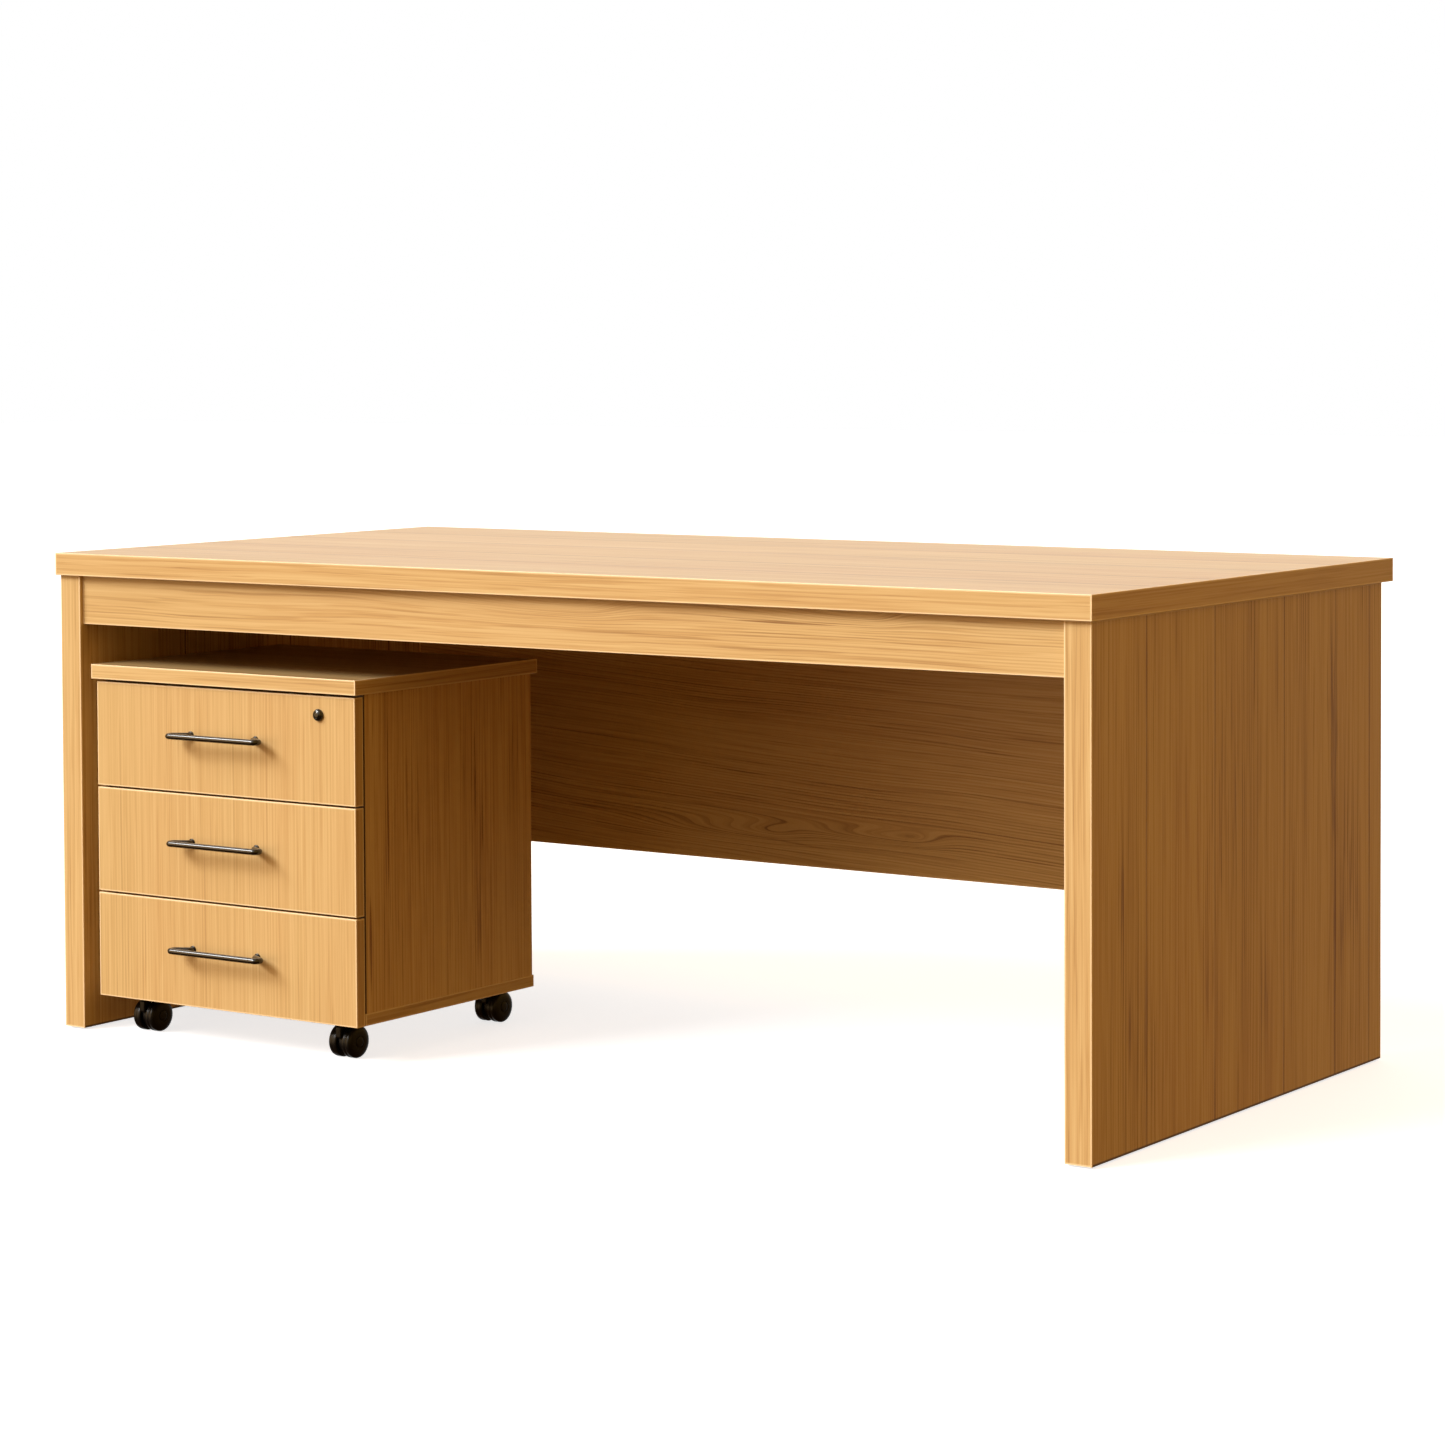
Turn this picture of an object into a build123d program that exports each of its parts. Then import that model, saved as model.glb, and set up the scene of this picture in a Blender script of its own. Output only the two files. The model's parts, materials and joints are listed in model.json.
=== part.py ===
from build123d import *
import os

os.makedirs("parts", exist_ok=True)

# Millimetres, +Z up, +X to the sitter's right, the sitter at -Y.
# The origin is on the floor, in the middle of the footprint.

# Desk
desk_width = 1800
desk_depth = 900
desk_height = 730
top_thickness = 34
leg_thickness = 40
board = 18
edge_band = 2
band_joint = 0.1
arris = 0.8
glide_height = 3
glide_radius = 10
leg_side_setback = 4
leg_front_setback = 7
leg_back_setback = 30
apron_height = 74
apron_setback = 6
modesty_setback = 30
modesty_bottom = 214

# Mobile pedestal and its drawers
pedestal_width = 510
pedestal_depth = 420
pedestal_height = 562
pedestal_gap = 28
pedestal_front_setback = 13
cap_thickness = 22
cap_overhang = 6
carcass_bottom = 56
cap_gap = 4
drawer_gap = 3
drawer_count = 3
bumper_gap = 2
back_recess = 3
box_board = 12
box_height = 90
box_length = 350
box_lift = 26
box_base_thickness = 5
box_base_lift = 10
groove_depth = 6

# Drawer runners: a channel on the carcass and a smaller one on the drawer
runner_gap = 13
runner_sheet = 1.2
runner_length = 350
runner_lift = 45
outer_runner = 35
inner_runner = 22
outer_flange = 9.5
inner_flange = 9
runner_lip = 3

# Bar handles
handle_bar = 9
handle_reach = 28
handle_foot_spacing = 128
handle_corner_spacing = 210
handle_foot = 6
handle_bend = 5
handle_corner = 6
handle_lift = 7

# Lock
lock_from_side = 68
lock_below_top = 28
lock_barrel = 7
lock_flange = 9
lock_flange_thickness = 6
lock_dome = 4.2
lock_plug_radius = 4.5
lock_cam_length = 24
lock_cam_width = 12
lock_cam_thickness = 2
lock_tang = 5

# Twin-wheel casters
wheel_radius = 24
wheel_width = 16
caster_trail = 14
caster_side_inset = 60
caster_end_inset = 38
fork_web = 10
wheel_play = 0.5
axle_radius = 3
pin_radius = 3
running_fit = 0.05
plate_size = 38
plate_thickness = 2
collar_radius = 12

# Knock-down fittings
cam_radius = 7.5
cam_depth = 13
cam_distance = 24
cam_bolt_depth = 9
bolt_radius = 3.5
bolt_tip_radius = 2.5
bolt_tip = 11
dowel_radius = 4
dowel_in_face = 10
dowel_in_edge = 20
seat_play = 0.05

# Screws
screw_radius = 1.75
screw_head = 3.5
screw_head_height = 1.5

# Places worked out from the sizes above
handle_protrusion = handle_reach + handle_bar / 2 - pedestal_front_setback
desk_front = (handle_protrusion - desk_depth) / 2
desk_back = desk_front + desk_depth
half_width = desk_width / 2
top_low = desk_height - top_thickness
leg_outer = half_width - leg_side_setback
leg_inner = leg_outer - leg_thickness
leg_front = desk_front + leg_front_setback
leg_back = desk_back - leg_back_setback
apron_front = leg_front + apron_setback
modesty_back = leg_back - modesty_setback

ped_left = -leg_inner + pedestal_gap
ped_right = ped_left + pedestal_width
ped_front = desk_front + pedestal_front_setback
ped_back = ped_front + pedestal_depth
ped_middle = (ped_left + ped_right) / 2
cap_low = pedestal_height - cap_thickness
front_back = ped_front + board
carcass_front = front_back + bumper_gap
side_back = ped_back - back_recess
side_low = carcass_bottom + board
front_height = (cap_low - cap_gap - carcass_bottom - (drawer_count - 1) * drawer_gap) / drawer_count
box_left = ped_left + board + runner_gap
box_right = ped_right - board - runner_gap
box_back = front_back + box_length
drawer_names = ["bottom", "middle", "top"]

UP = Vector(0, 0, 1)
RIGHT = Vector(1, 0, 0)
BACK = Vector(0, 1, 0)


def add_box(x, y, z, mode=Mode.ADD):
    # a box between the low and high value of each pair, in the part being built
    with BuildSketch(Plane.XY.offset(z[0])) as outline:
        with Locations(((x[0] + x[1]) / 2, (y[0] + y[1]) / 2)):
            Rectangle(x[1] - x[0], y[1] - y[0])
    extrude(outline.sketch, amount=z[1] - z[0], mode=mode)


def add_rod(start, direction, radius, length, mode=Mode.ADD):
    # a round rod, or with Mode.SUBTRACT a round hole, in the part being built
    with BuildSketch(Plane(origin=start, z_dir=direction)) as section:
        Circle(radius)
    extrude(section.sketch, amount=length, mode=mode)


def save(piece, name):
    piece.part.label = name
    export_step(piece.part, f"parts/{name}.step")


def soften(piece, axis, radius=arris):
    # rounds the long arrises of a board that run along one axis
    fillet(piece.edges().filter_by(axis), radius=radius)


def add_screw(at, into, length, radius=screw_radius):
    # a pan-head screw whose head sits on the surface at a point
    add_rod(at, into * -1, screw_head, screw_head_height)
    add_rod(at, into, radius - seat_play, length)


# A cam fitting is a tuple: the point where its bolt crosses the joint, the direction into
# the board that holds the cam, and the direction from the bolt to that board's face.

def cut_cam_seats(fittings):
    for at, inward, faceward in fittings:
        face = at + inward * cam_distance + faceward * cam_bolt_depth
        add_rod(face, faceward * -1, cam_radius, cam_depth, Mode.SUBTRACT)
        add_rod(at, inward, bolt_radius, cam_distance, Mode.SUBTRACT)


def cut_bolt_seats(fittings):
    for at, inward, faceward in fittings:
        add_rod(at, inward * -1, bolt_tip_radius, bolt_tip, Mode.SUBTRACT)


def cut_dowel_seats(dowels):
    for at, inward in dowels:
        start = at - inward * (dowel_in_face + 0.5)
        add_rod(start, inward, dowel_radius, dowel_in_face + dowel_in_edge + 1, Mode.SUBTRACT)


def save_cams(fittings, name):
    with BuildPart() as cams:
        for at, inward, faceward in fittings:
            centre = at + inward * cam_distance
            face = centre + faceward * cam_bolt_depth
            add_rod(face, faceward * -1, cam_radius - seat_play, cam_depth - 0.5)
            add_rod(centre - inward * cam_radius, inward, bolt_radius + 0.3, cam_radius + 3, Mode.SUBTRACT)
            with BuildSketch(Plane(origin=face, z_dir=faceward)) as cross:
                Rectangle(9, 1.6)
                Rectangle(1.6, 9)
            extrude(cross.sketch, amount=-1.5, mode=Mode.SUBTRACT)
    save(cams, name)


def save_cam_bolts(fittings, name):
    with BuildPart() as bolts:
        for at, inward, faceward in fittings:
            add_rod(at, inward, bolt_radius - seat_play, cam_distance - cam_radius / 2)
            add_rod(at + inward * (cam_distance - cam_radius / 2), inward, 2, cam_radius / 2)
            add_rod(at + inward * cam_distance, inward, bolt_radius - 0.2, 2.5)
            add_rod(at, inward * -1, bolt_tip_radius - seat_play, bolt_tip - 0.5)
    save(bolts, name)


def save_dowels(dowels, name):
    with BuildPart() as pegs:
        for at, inward in dowels:
            length = dowel_in_face + dowel_in_edge
            add_rod(at - inward * dowel_in_face, inward, dowel_radius - seat_play, length)
    save(pegs, name)


def save_edge_bands(x, y, z, name):
    # four strips round a board, with rounded arrises and a hairline joint at each corner
    strips = [
        (x, (y[0], y[0] + edge_band)),
        (x, (y[1] - edge_band, y[1])),
        ((x[0], x[0] + edge_band), (y[0] + edge_band + band_joint, y[1] - edge_band - band_joint)),
        ((x[1] - edge_band, x[1]), (y[0] + edge_band + band_joint, y[1] - edge_band - band_joint)),
    ]
    with BuildPart() as bands:
        for strip_x, strip_y in strips:
            add_box(strip_x, strip_y, z)
        rims = [
            edge
            for edge in bands.edges()
            if edge.center().X in (x[0], x[1]) or edge.center().Y in (y[0], y[1])
        ]
        long_rims = [edge for edge in rims if edge.length > edge_band + top_thickness]
        fillet(long_rims, radius=arris)
    save(bands, name)


# Desk: fittings between the boards

desk_sides = {"left": -1, "right": 1}
leg_fittings = {}
leg_dowels = {}
end_fittings = {}
end_dowels = {}
for side, sign in desk_sides.items():
    inner_line = leg_inner + cam_bolt_depth
    leg_fittings[side] = [
        (Vector(sign * inner_line, leg_front + along, top_low), UP * -1, RIGHT * -sign)
        for along in (110, 430, 750)
    ]
    leg_dowels[side] = [
        (Vector(sign * (leg_inner + leg_thickness / 2), leg_front + along, top_low), UP * -1)
        for along in (50, 270, 590, 810)
    ]
    apron_line = apron_front + board - cam_bolt_depth
    modesty_line = modesty_back - board + cam_bolt_depth
    end_fittings[side] = [(Vector(sign * leg_inner, apron_line, 650), RIGHT * -sign, BACK)] + [
        (Vector(sign * leg_inner, modesty_line, height), RIGHT * -sign, BACK * -1)
        for height in (260, 560)
    ]
    end_dowels[side] = [
        (Vector(sign * leg_inner, apron_front + board / 2, height), RIGHT * -sign)
        for height in (634, 668)
    ] + [
        (Vector(sign * leg_inner, modesty_back - board / 2, height), RIGHT * -sign)
        for height in (330, 490)
    ]
rail_fittings = [
    (Vector(along, apron_front + board - cam_bolt_depth, top_low), UP * -1, BACK)
    for along in (-500, 0, 500)
]
panel_fittings = [
    (Vector(along, modesty_back - board + cam_bolt_depth, top_low), UP * -1, BACK * -1)
    for along in (-500, 0, 500)
]
rail_dowels = [
    (Vector(along, apron_front + board / 2, top_low), UP * -1) for along in (-700, -250, 250, 700)
]
panel_dowels = [
    (Vector(along, modesty_back - board / 2, top_low), UP * -1) for along in (-700, -250, 250, 700)
]


# Desk: boards

def make_desktop():
    x = (-half_width + edge_band, half_width - edge_band)
    y = (desk_front + edge_band, desk_back - edge_band)
    with BuildPart() as desktop:
        add_box(x, y, (top_low, desk_height))
        for side in desk_sides:
            cut_bolt_seats(leg_fittings[side])
            cut_dowel_seats(leg_dowels[side])
        cut_bolt_seats(rail_fittings + panel_fittings)
        cut_dowel_seats(rail_dowels + panel_dowels)
    save(desktop, "desktop")
    full = (-half_width, half_width)
    save_edge_bands(full, (desk_front, desk_back), (top_low, desk_height), "desktop_edge_bands")


def glide_places(sign):
    line = sign * (leg_inner + leg_thickness / 2)
    return [Vector(line, leg_front + 25, 0), Vector(line, leg_back - 25, 0)]


nail_radius = 1.5
nail_length = 16


def make_leg(side):
    sign = desk_sides[side]
    x = sorted((sign * leg_inner, sign * leg_outer))
    with BuildPart() as leg:
        add_box(x, (leg_front + edge_band, leg_back - edge_band), (glide_height, top_low))
        cut_cam_seats(leg_fittings[side])
        cut_dowel_seats(leg_dowels[side])
        cut_bolt_seats(end_fittings[side])
        cut_dowel_seats(end_dowels[side])
        for place in glide_places(sign):
            add_rod(place + UP * glide_height, UP, nail_radius, nail_length + 0.5, Mode.SUBTRACT)
    save(leg, f"{side}_leg_panel")


def make_leg_bands():
    with BuildPart() as bands:
        for sign in desk_sides.values():
            x = sorted((sign * leg_inner, sign * leg_outer))
            add_box(x, (leg_front, leg_front + edge_band), (glide_height, top_low))
            add_box(x, (leg_back - edge_band, leg_back), (glide_height, top_low))
        outer = [
            edge for edge in bands.edges().filter_by(Axis.Z) if edge.center().Y in (leg_front, leg_back)
        ]
        fillet(outer, radius=arris)
    save(bands, "leg_edge_bands")


def make_glides():
    with BuildPart() as glides:
        for sign in desk_sides.values():
            for place in glide_places(sign):
                add_rod(place, UP, glide_radius, glide_height)
                add_rod(place + UP * glide_height, UP, nail_radius - seat_play, nail_length)
        rims = glides.edges().filter_by(GeomType.CIRCLE).group_by(Axis.Z)[0]
        fillet(rims, radius=1)
    save(glides, "desk_glides")


def make_apron():
    with BuildPart() as apron:
        y = (apron_front, apron_front + board)
        add_box((-leg_inner, leg_inner), y, (top_low - apron_height, top_low))
        fillet(apron.edges().filter_by(Axis.X).group_by(Axis.Z)[0], radius=arris)
        cut_cam_seats(rail_fittings)
        cut_dowel_seats(rail_dowels)
        for side in desk_sides:
            cut_cam_seats(end_fittings[side][:1])
            cut_dowel_seats(end_dowels[side][:2])
    save(apron, "front_apron")


def make_modesty_panel():
    with BuildPart() as panel:
        y = (modesty_back - board, modesty_back)
        add_box((-leg_inner, leg_inner), y, (modesty_bottom, top_low))
        fillet(panel.edges().filter_by(Axis.X).group_by(Axis.Z)[0], radius=arris)
        cut_cam_seats(panel_fittings)
        cut_dowel_seats(panel_dowels)
        for side in desk_sides:
            cut_cam_seats(end_fittings[side][1:])
            cut_dowel_seats(end_dowels[side][2:])
    save(panel, "modesty_panel")


make_desktop()
make_leg("left")
make_leg("right")
make_leg_bands()
make_glides()
make_apron()
make_modesty_panel()
desk_fittings = rail_fittings + panel_fittings
desk_dowels = rail_dowels + panel_dowels
for side in desk_sides:
    desk_fittings += leg_fittings[side] + end_fittings[side]
    desk_dowels += leg_dowels[side] + end_dowels[side]
save_cams(desk_fittings, "desk_cams")
save_cam_bolts(desk_fittings, "desk_cam_bolts")
save_dowels(desk_dowels, "desk_dowels")


# Pedestal: fittings

carcass_inner = {"left": ped_left + board, "right": ped_right - board}
inward_x = {"left": RIGHT, "right": RIGHT * -1}
top_fittings = {}
bottom_fittings = {}
back_fittings = {}
side_dowels = {}
for side, inner in carcass_inner.items():
    line = inner - inward_x[side].X * cam_bolt_depth
    ends = (carcass_front + 40, side_back - 40)
    top_fittings[side] = [(Vector(line, y, cap_low), UP * -1, inward_x[side]) for y in ends]
    bottom_fittings[side] = [(Vector(line, y, side_low), UP, inward_x[side]) for y in ends]
    back_line = side_back - board + cam_bolt_depth
    back_fittings[side] = [
        (Vector(inner, back_line, height), inward_x[side], BACK * -1) for height in (180, 420)
    ]
    middle = (carcass_front + side_back) / 2
    side_dowels[side] = [
        (Vector(line, middle, cap_low), UP * -1),
        (Vector(line, middle, side_low), UP),
    ]


def runner_middle(index):
    # height of the middle of one drawer's runners
    return drawer_low(index) + box_lift + runner_lift


def drawer_low(index):
    return carcass_bottom + index * (front_height + drawer_gap)


runner_screw_places = (25, 170, 320)
runner_front = carcass_front + 2


def make_pedestal_side(side):
    inner = carcass_inner[side]
    outer = inner - inward_x[side].X * board
    with BuildPart() as panel:
        add_box(sorted((inner, outer)), (carcass_front, side_back), (side_low, cap_low))
        soften(panel, Axis.Z)
        cut_cam_seats(top_fittings[side] + bottom_fittings[side])
        cut_dowel_seats(side_dowels[side])
        cut_bolt_seats(back_fittings[side])
        for index in range(drawer_count):
            for along in runner_screw_places:
                at = Vector(inner, runner_front + along, runner_middle(index))
                add_rod(at, inward_x[side] * -1, screw_radius, 13, Mode.SUBTRACT)
    save(panel, f"pedestal_{side}_side")


def caster_places():
    for x, side in ((ped_left + caster_side_inset, "left"), (ped_right - caster_side_inset, "right")):
        yield "front_" + side, x, ped_front + caster_end_inset
        yield "rear_" + side, x, ped_back - caster_end_inset


def plate_screw_places(x, y):
    for dx in (-13, 13):
        for dy in (-13, 13):
            yield x + dx, y + dy


def make_pedestal_panels():
    with BuildPart() as bottom:
        add_box((ped_left, ped_right), (carcass_front, ped_back), (carcass_bottom, side_low))
        soften(bottom, Axis.Y)
        for side in carcass_inner:
            cut_bolt_seats(bottom_fittings[side])
            cut_dowel_seats(side_dowels[side][1:])
        for caster, x, y in caster_places():
            for sx, sy in plate_screw_places(x, y):
                add_rod(Vector(sx, sy, carcass_bottom), UP, screw_radius, 13, Mode.SUBTRACT)
    save(bottom, "pedestal_bottom")
    with BuildPart() as back:
        y = (side_back - board, side_back)
        add_box((carcass_inner["left"], carcass_inner["right"]), y, (side_low, cap_low))
        for side in carcass_inner:
            cut_cam_seats(back_fittings[side])
    save(back, "pedestal_back")
    cap_x = (ped_left - cap_overhang, ped_right + cap_overhang)
    cap_y = (ped_front - cap_overhang, ped_back + cap_overhang)
    with BuildPart() as cap:
        core_x = (cap_x[0] + edge_band, cap_x[1] - edge_band)
        core_y = (cap_y[0] + edge_band, cap_y[1] - edge_band)
        add_box(core_x, core_y, (cap_low, pedestal_height))
        for side in carcass_inner:
            cut_bolt_seats(top_fittings[side])
            cut_dowel_seats(side_dowels[side][:1])
    save(cap, "pedestal_top")
    save_edge_bands(cap_x, cap_y, (cap_low, pedestal_height), "pedestal_top_edge_bands")


def add_channel(web_x, toward, height, flange, lip, y, middle):
    # a C channel: web on the face web_x, flanges and lips pointing along toward (+1 or -1)
    half = height / 2
    web = sorted((web_x, web_x + toward * runner_sheet))
    reach = sorted((web_x, web_x + toward * flange))
    tip = sorted((web_x + toward * (flange - runner_sheet), web_x + toward * flange))
    add_box(web, y, (middle - half, middle + half))
    add_box(reach, y, (middle + half - runner_sheet, middle + half))
    add_box(reach, y, (middle - half, middle - half + runner_sheet))
    add_box(tip, y, (middle + half - lip, middle + half))
    add_box(tip, y, (middle - half, middle - half + lip))


def make_cabinet_runners():
    y = (runner_front, runner_front + runner_length)
    with BuildPart() as runners:
        for index in range(drawer_count):
            for side, inner in carcass_inner.items():
                toward = inward_x[side].X
                middle = runner_middle(index)
                add_channel(inner, toward, outer_runner, outer_flange, runner_lip, y, middle)
                for along in runner_screw_places:
                    at = Vector(inner, runner_front + along, middle)
                    add_rod(at, inward_x[side], screw_radius, runner_sheet, Mode.SUBTRACT)
    save(runners, "cabinet_runners")
    with BuildPart() as screws:
        for index in range(drawer_count):
            for side, inner in carcass_inner.items():
                for along in runner_screw_places:
                    at = Vector(inner, runner_front + along, runner_middle(index))
                    at = at + inward_x[side] * runner_sheet
                    add_screw(at, inward_x[side] * -1, 13)
    save(screws, "cabinet_runner_screws")


make_pedestal_side("left")
make_pedestal_side("right")
make_pedestal_panels()
make_cabinet_runners()
pedestal_fittings = []
pedestal_dowels = []
for side in carcass_inner:
    pedestal_fittings += top_fittings[side] + bottom_fittings[side] + back_fittings[side]
    pedestal_dowels += side_dowels[side]
save_cams(pedestal_fittings, "pedestal_cams")
save_cam_bolts(pedestal_fittings, "pedestal_cam_bolts")
save_dowels(pedestal_dowels, "pedestal_dowels")


# Casters

plate_low = carcass_bottom - plate_thickness
pin_low = 36
collar_low = wheel_radius * 2 + 0.6


def make_caster_plates():
    with BuildPart() as plates:
        for caster, x, y in caster_places():
            half = plate_size / 2
            add_box((x - half, x + half), (y - half, y + half), (plate_low, carcass_bottom))
            add_rod(Vector(x, y, plate_low), UP * -1, pin_radius, plate_low - pin_low)
            for sx, sy in plate_screw_places(x, y):
                add_rod(Vector(sx, sy, plate_low), UP, screw_radius, plate_thickness, Mode.SUBTRACT)
        corners = [edge for edge in plates.edges().filter_by(Axis.Z) if edge.length == plate_thickness]
        fillet([edge for edge in corners if edge.geom_type == GeomType.LINE], radius=4)
    save(plates, "caster_plates")
    with BuildPart() as screws:
        for caster, x, y in caster_places():
            for sx, sy in plate_screw_places(x, y):
                add_screw(Vector(sx, sy, plate_low), UP, 14)
    save(screws, "caster_screws")


def make_caster(name, x, y):
    axle_y = y + caster_trail
    axle_at = Vector(x, axle_y, wheel_radius)
    with BuildPart() as fork:
        with BuildSketch(Plane.YZ.offset(x - fork_web / 2)):
            with Locations((axle_y, wheel_radius)):
                Circle(17)
            with Locations((y + 6, (wheel_radius + collar_low) / 2)):
                Rectangle(26, collar_low - wheel_radius)
        extrude(amount=fork_web)
        fillet(fork.edges().filter_by(Axis.X).group_by(Axis.Z)[-1], radius=3)
        add_rod(Vector(x, y, collar_low), UP, collar_radius, plate_low - 0.5 - collar_low)
        bore = plate_low - pin_low + 0.5
        add_rod(Vector(x, y, plate_low), UP * -1, pin_radius + running_fit, bore, Mode.SUBTRACT)
        across = Vector(x - fork_web / 2, axle_y, wheel_radius)
        add_rod(across, RIGHT, axle_radius, fork_web, Mode.SUBTRACT)
    save(fork, f"caster_{name}_fork")
    axle_half = fork_web / 2 + wheel_play + 12
    with BuildPart() as axle:
        add_rod(axle_at - RIGHT * axle_half, RIGHT, axle_radius, 2 * axle_half)
    save(axle, f"caster_{name}_axle")
    inner = fork_web / 2 + wheel_play
    with BuildPart() as wheels:
        for toward in (RIGHT, RIGHT * -1):
            add_rod(axle_at + toward * inner, toward, wheel_radius, wheel_width)
        rims = [edge for edge in wheels.edges() if edge.geom_type == GeomType.CIRCLE]
        fillet([edge for edge in rims if abs(edge.center().X - x) > inner + 1], radius=5)
        fillet([edge for edge in wheels.edges() if on_plane(edge, x, inner)], radius=2)
        for toward in (RIGHT, RIGHT * -1):
            add_rod(axle_at + toward * inner, toward, axle_radius + running_fit, 12.5, Mode.SUBTRACT)
    save(wheels, f"caster_{name}_wheels")


def on_plane(edge, x, offset):
    return edge.geom_type == GeomType.CIRCLE and abs(abs(edge.center().X - x) - offset) < 0.01


make_caster_plates()
for caster, x, y in caster_places():
    make_caster(caster, x, y)


# Drawers

handle_feet = (ped_middle - handle_foot_spacing / 2, ped_middle + handle_foot_spacing / 2)
handle_screw_length = board + box_board + handle_foot - 1
lock_x = ped_right - lock_from_side
lock_z = cap_low - cap_gap - lock_below_top


def handle_height(index):
    return drawer_low(index) + front_height / 2 + handle_lift


def front_screw_places(index):
    low = drawer_low(index) + box_lift
    for x in (box_left + 40, box_right - 40):
        for height in (low + 25, low + box_height - 20):
            yield Vector(x, front_back + box_board, height)


def corner_screw_places(index):
    # heads on the outer faces of the box sides, above and below the runner
    low = drawer_low(index) + box_lift
    for x, into in ((box_left, RIGHT), (box_right, RIGHT * -1)):
        for y in (front_back + box_board / 2, box_back - box_board / 2):
            for height in (low + 18, low + box_height - 12):
                yield Vector(x, y, height), into


def drawer_runner_screws(index):
    for x, into in ((box_left, RIGHT), (box_right, RIGHT * -1)):
        for along in runner_screw_places:
            yield Vector(x, front_back + along, runner_middle(index)), into


def make_drawer_front(index, name):
    low = drawer_low(index)
    with BuildPart() as front:
        add_box((ped_left, ped_right), (ped_front, front_back), (low, low + front_height))
        fillet(front.faces().sort_by(Axis.Y)[0].edges(), radius=arris)
        for x in handle_feet:
            at = Vector(x, ped_front, handle_height(index))
            add_rod(at, BACK, 2, board, Mode.SUBTRACT)
        for at in front_screw_places(index):
            add_rod(at - BACK * box_board, BACK * -1, screw_radius, 13, Mode.SUBTRACT)
        if name == "top":
            at = Vector(lock_x, ped_front, lock_z)
            add_rod(at, BACK, lock_barrel + seat_play, board, Mode.SUBTRACT)
    save(front, f"drawer_{name}_front")


def base_sizes(index):
    # the drawer base runs in a groove in all four box boards
    low = drawer_low(index) + box_lift + box_base_lift
    reach = box_board - groove_depth
    x = (box_left + reach, box_right - reach)
    y = (front_back + reach, box_back - reach)
    return x, y, (low, low + box_base_thickness)


def make_drawer_box(index, name):
    low = drawer_low(index) + box_lift
    z = (low, low + box_height)
    groove = base_sizes(index)
    with BuildPart() as sides:
        add_box((box_left, box_left + box_board), (front_back, box_back), z)
        add_box((box_right - box_board, box_right), (front_back, box_back), z)
        fillet(sides.edges().filter_by(Axis.Y).group_by(Axis.Z)[-1], radius=arris)
        add_box(*groove, mode=Mode.SUBTRACT)
        for at, into in corner_screw_places(index):
            add_rod(at, into, screw_radius, box_board, Mode.SUBTRACT)
        for at, into in drawer_runner_screws(index):
            add_rod(at, into, screw_radius, 10, Mode.SUBTRACT)
    save(sides, f"drawer_{name}_sides")
    inside = (box_left + box_board, box_right - box_board)
    with BuildPart() as ends:
        add_box(inside, (front_back, front_back + box_board), z)
        add_box(inside, (box_back - box_board, box_back), z)
        add_box(*groove, mode=Mode.SUBTRACT)
        for x in handle_feet:
            at = Vector(x, front_back, handle_height(index))
            add_rod(at, BACK, 2, box_board, Mode.SUBTRACT)
        for at in front_screw_places(index):
            add_rod(at, BACK * -1, screw_radius, box_board, Mode.SUBTRACT)
        for at, into in corner_screw_places(index):
            add_rod(at + into * box_board, into, screw_radius, 15, Mode.SUBTRACT)
    save(ends, f"drawer_{name}_ends")
    with BuildPart() as base:
        add_box(*groove)
    save(base, f"drawer_{name}_base")


def make_drawer_runners(index, name):
    y = (front_back, front_back + runner_length)
    middle = runner_middle(index)
    with BuildPart() as runners:
        for x, into in ((box_left, RIGHT), (box_right, RIGHT * -1)):
            add_channel(x, -into.X, inner_runner, inner_flange, runner_sheet, y, middle)
        for at, into in drawer_runner_screws(index):
            add_rod(at, into * -1, screw_radius, runner_sheet, Mode.SUBTRACT)
    save(runners, f"drawer_{name}_runners")
    with BuildPart() as screws:
        for at, into in drawer_runner_screws(index):
            add_screw(at - into * runner_sheet, into, 10)
        for at, into in corner_screw_places(index):
            add_screw(at, into, box_board + 14)
        for at in front_screw_places(index):
            add_screw(at, BACK * -1, box_board + 12)
        for x in handle_feet:
            at = Vector(x, front_back + box_board, handle_height(index))
            add_screw(at, BACK * -1, handle_screw_length, radius=2)
    save(screws, f"drawer_{name}_screws")


def make_handle(index, name):
    z = handle_height(index)
    corner = handle_corner_spacing / 2
    bar_y = ped_front - handle_reach
    points = [
        (handle_feet[0], ped_front),
        (handle_feet[0], ped_front - handle_foot),
        (ped_middle - corner, bar_y),
        (ped_middle + corner, bar_y),
        (handle_feet[1], ped_front - handle_foot),
        (handle_feet[1], ped_front),
    ]
    with BuildPart() as handle:
        with BuildLine(Plane.XY.offset(z)):
            FilletPolyline(*points, radius=[handle_bend, handle_corner, handle_corner, handle_bend])
        with BuildSketch(Plane(origin=(handle_feet[0], ped_front, z), z_dir=(0, -1, 0))):
            Circle(handle_bar / 2)
        sweep()
        for x in handle_feet:
            add_rod(Vector(x, ped_front, z), BACK * -1, 2, handle_foot, Mode.SUBTRACT)
    save(handle, f"drawer_{name}_handle")


for index, name in enumerate(drawer_names):
    make_drawer_front(index, name)
    make_drawer_box(index, name)
    make_drawer_runners(index, name)
    make_handle(index, name)


# Lock in the top drawer front

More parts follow.
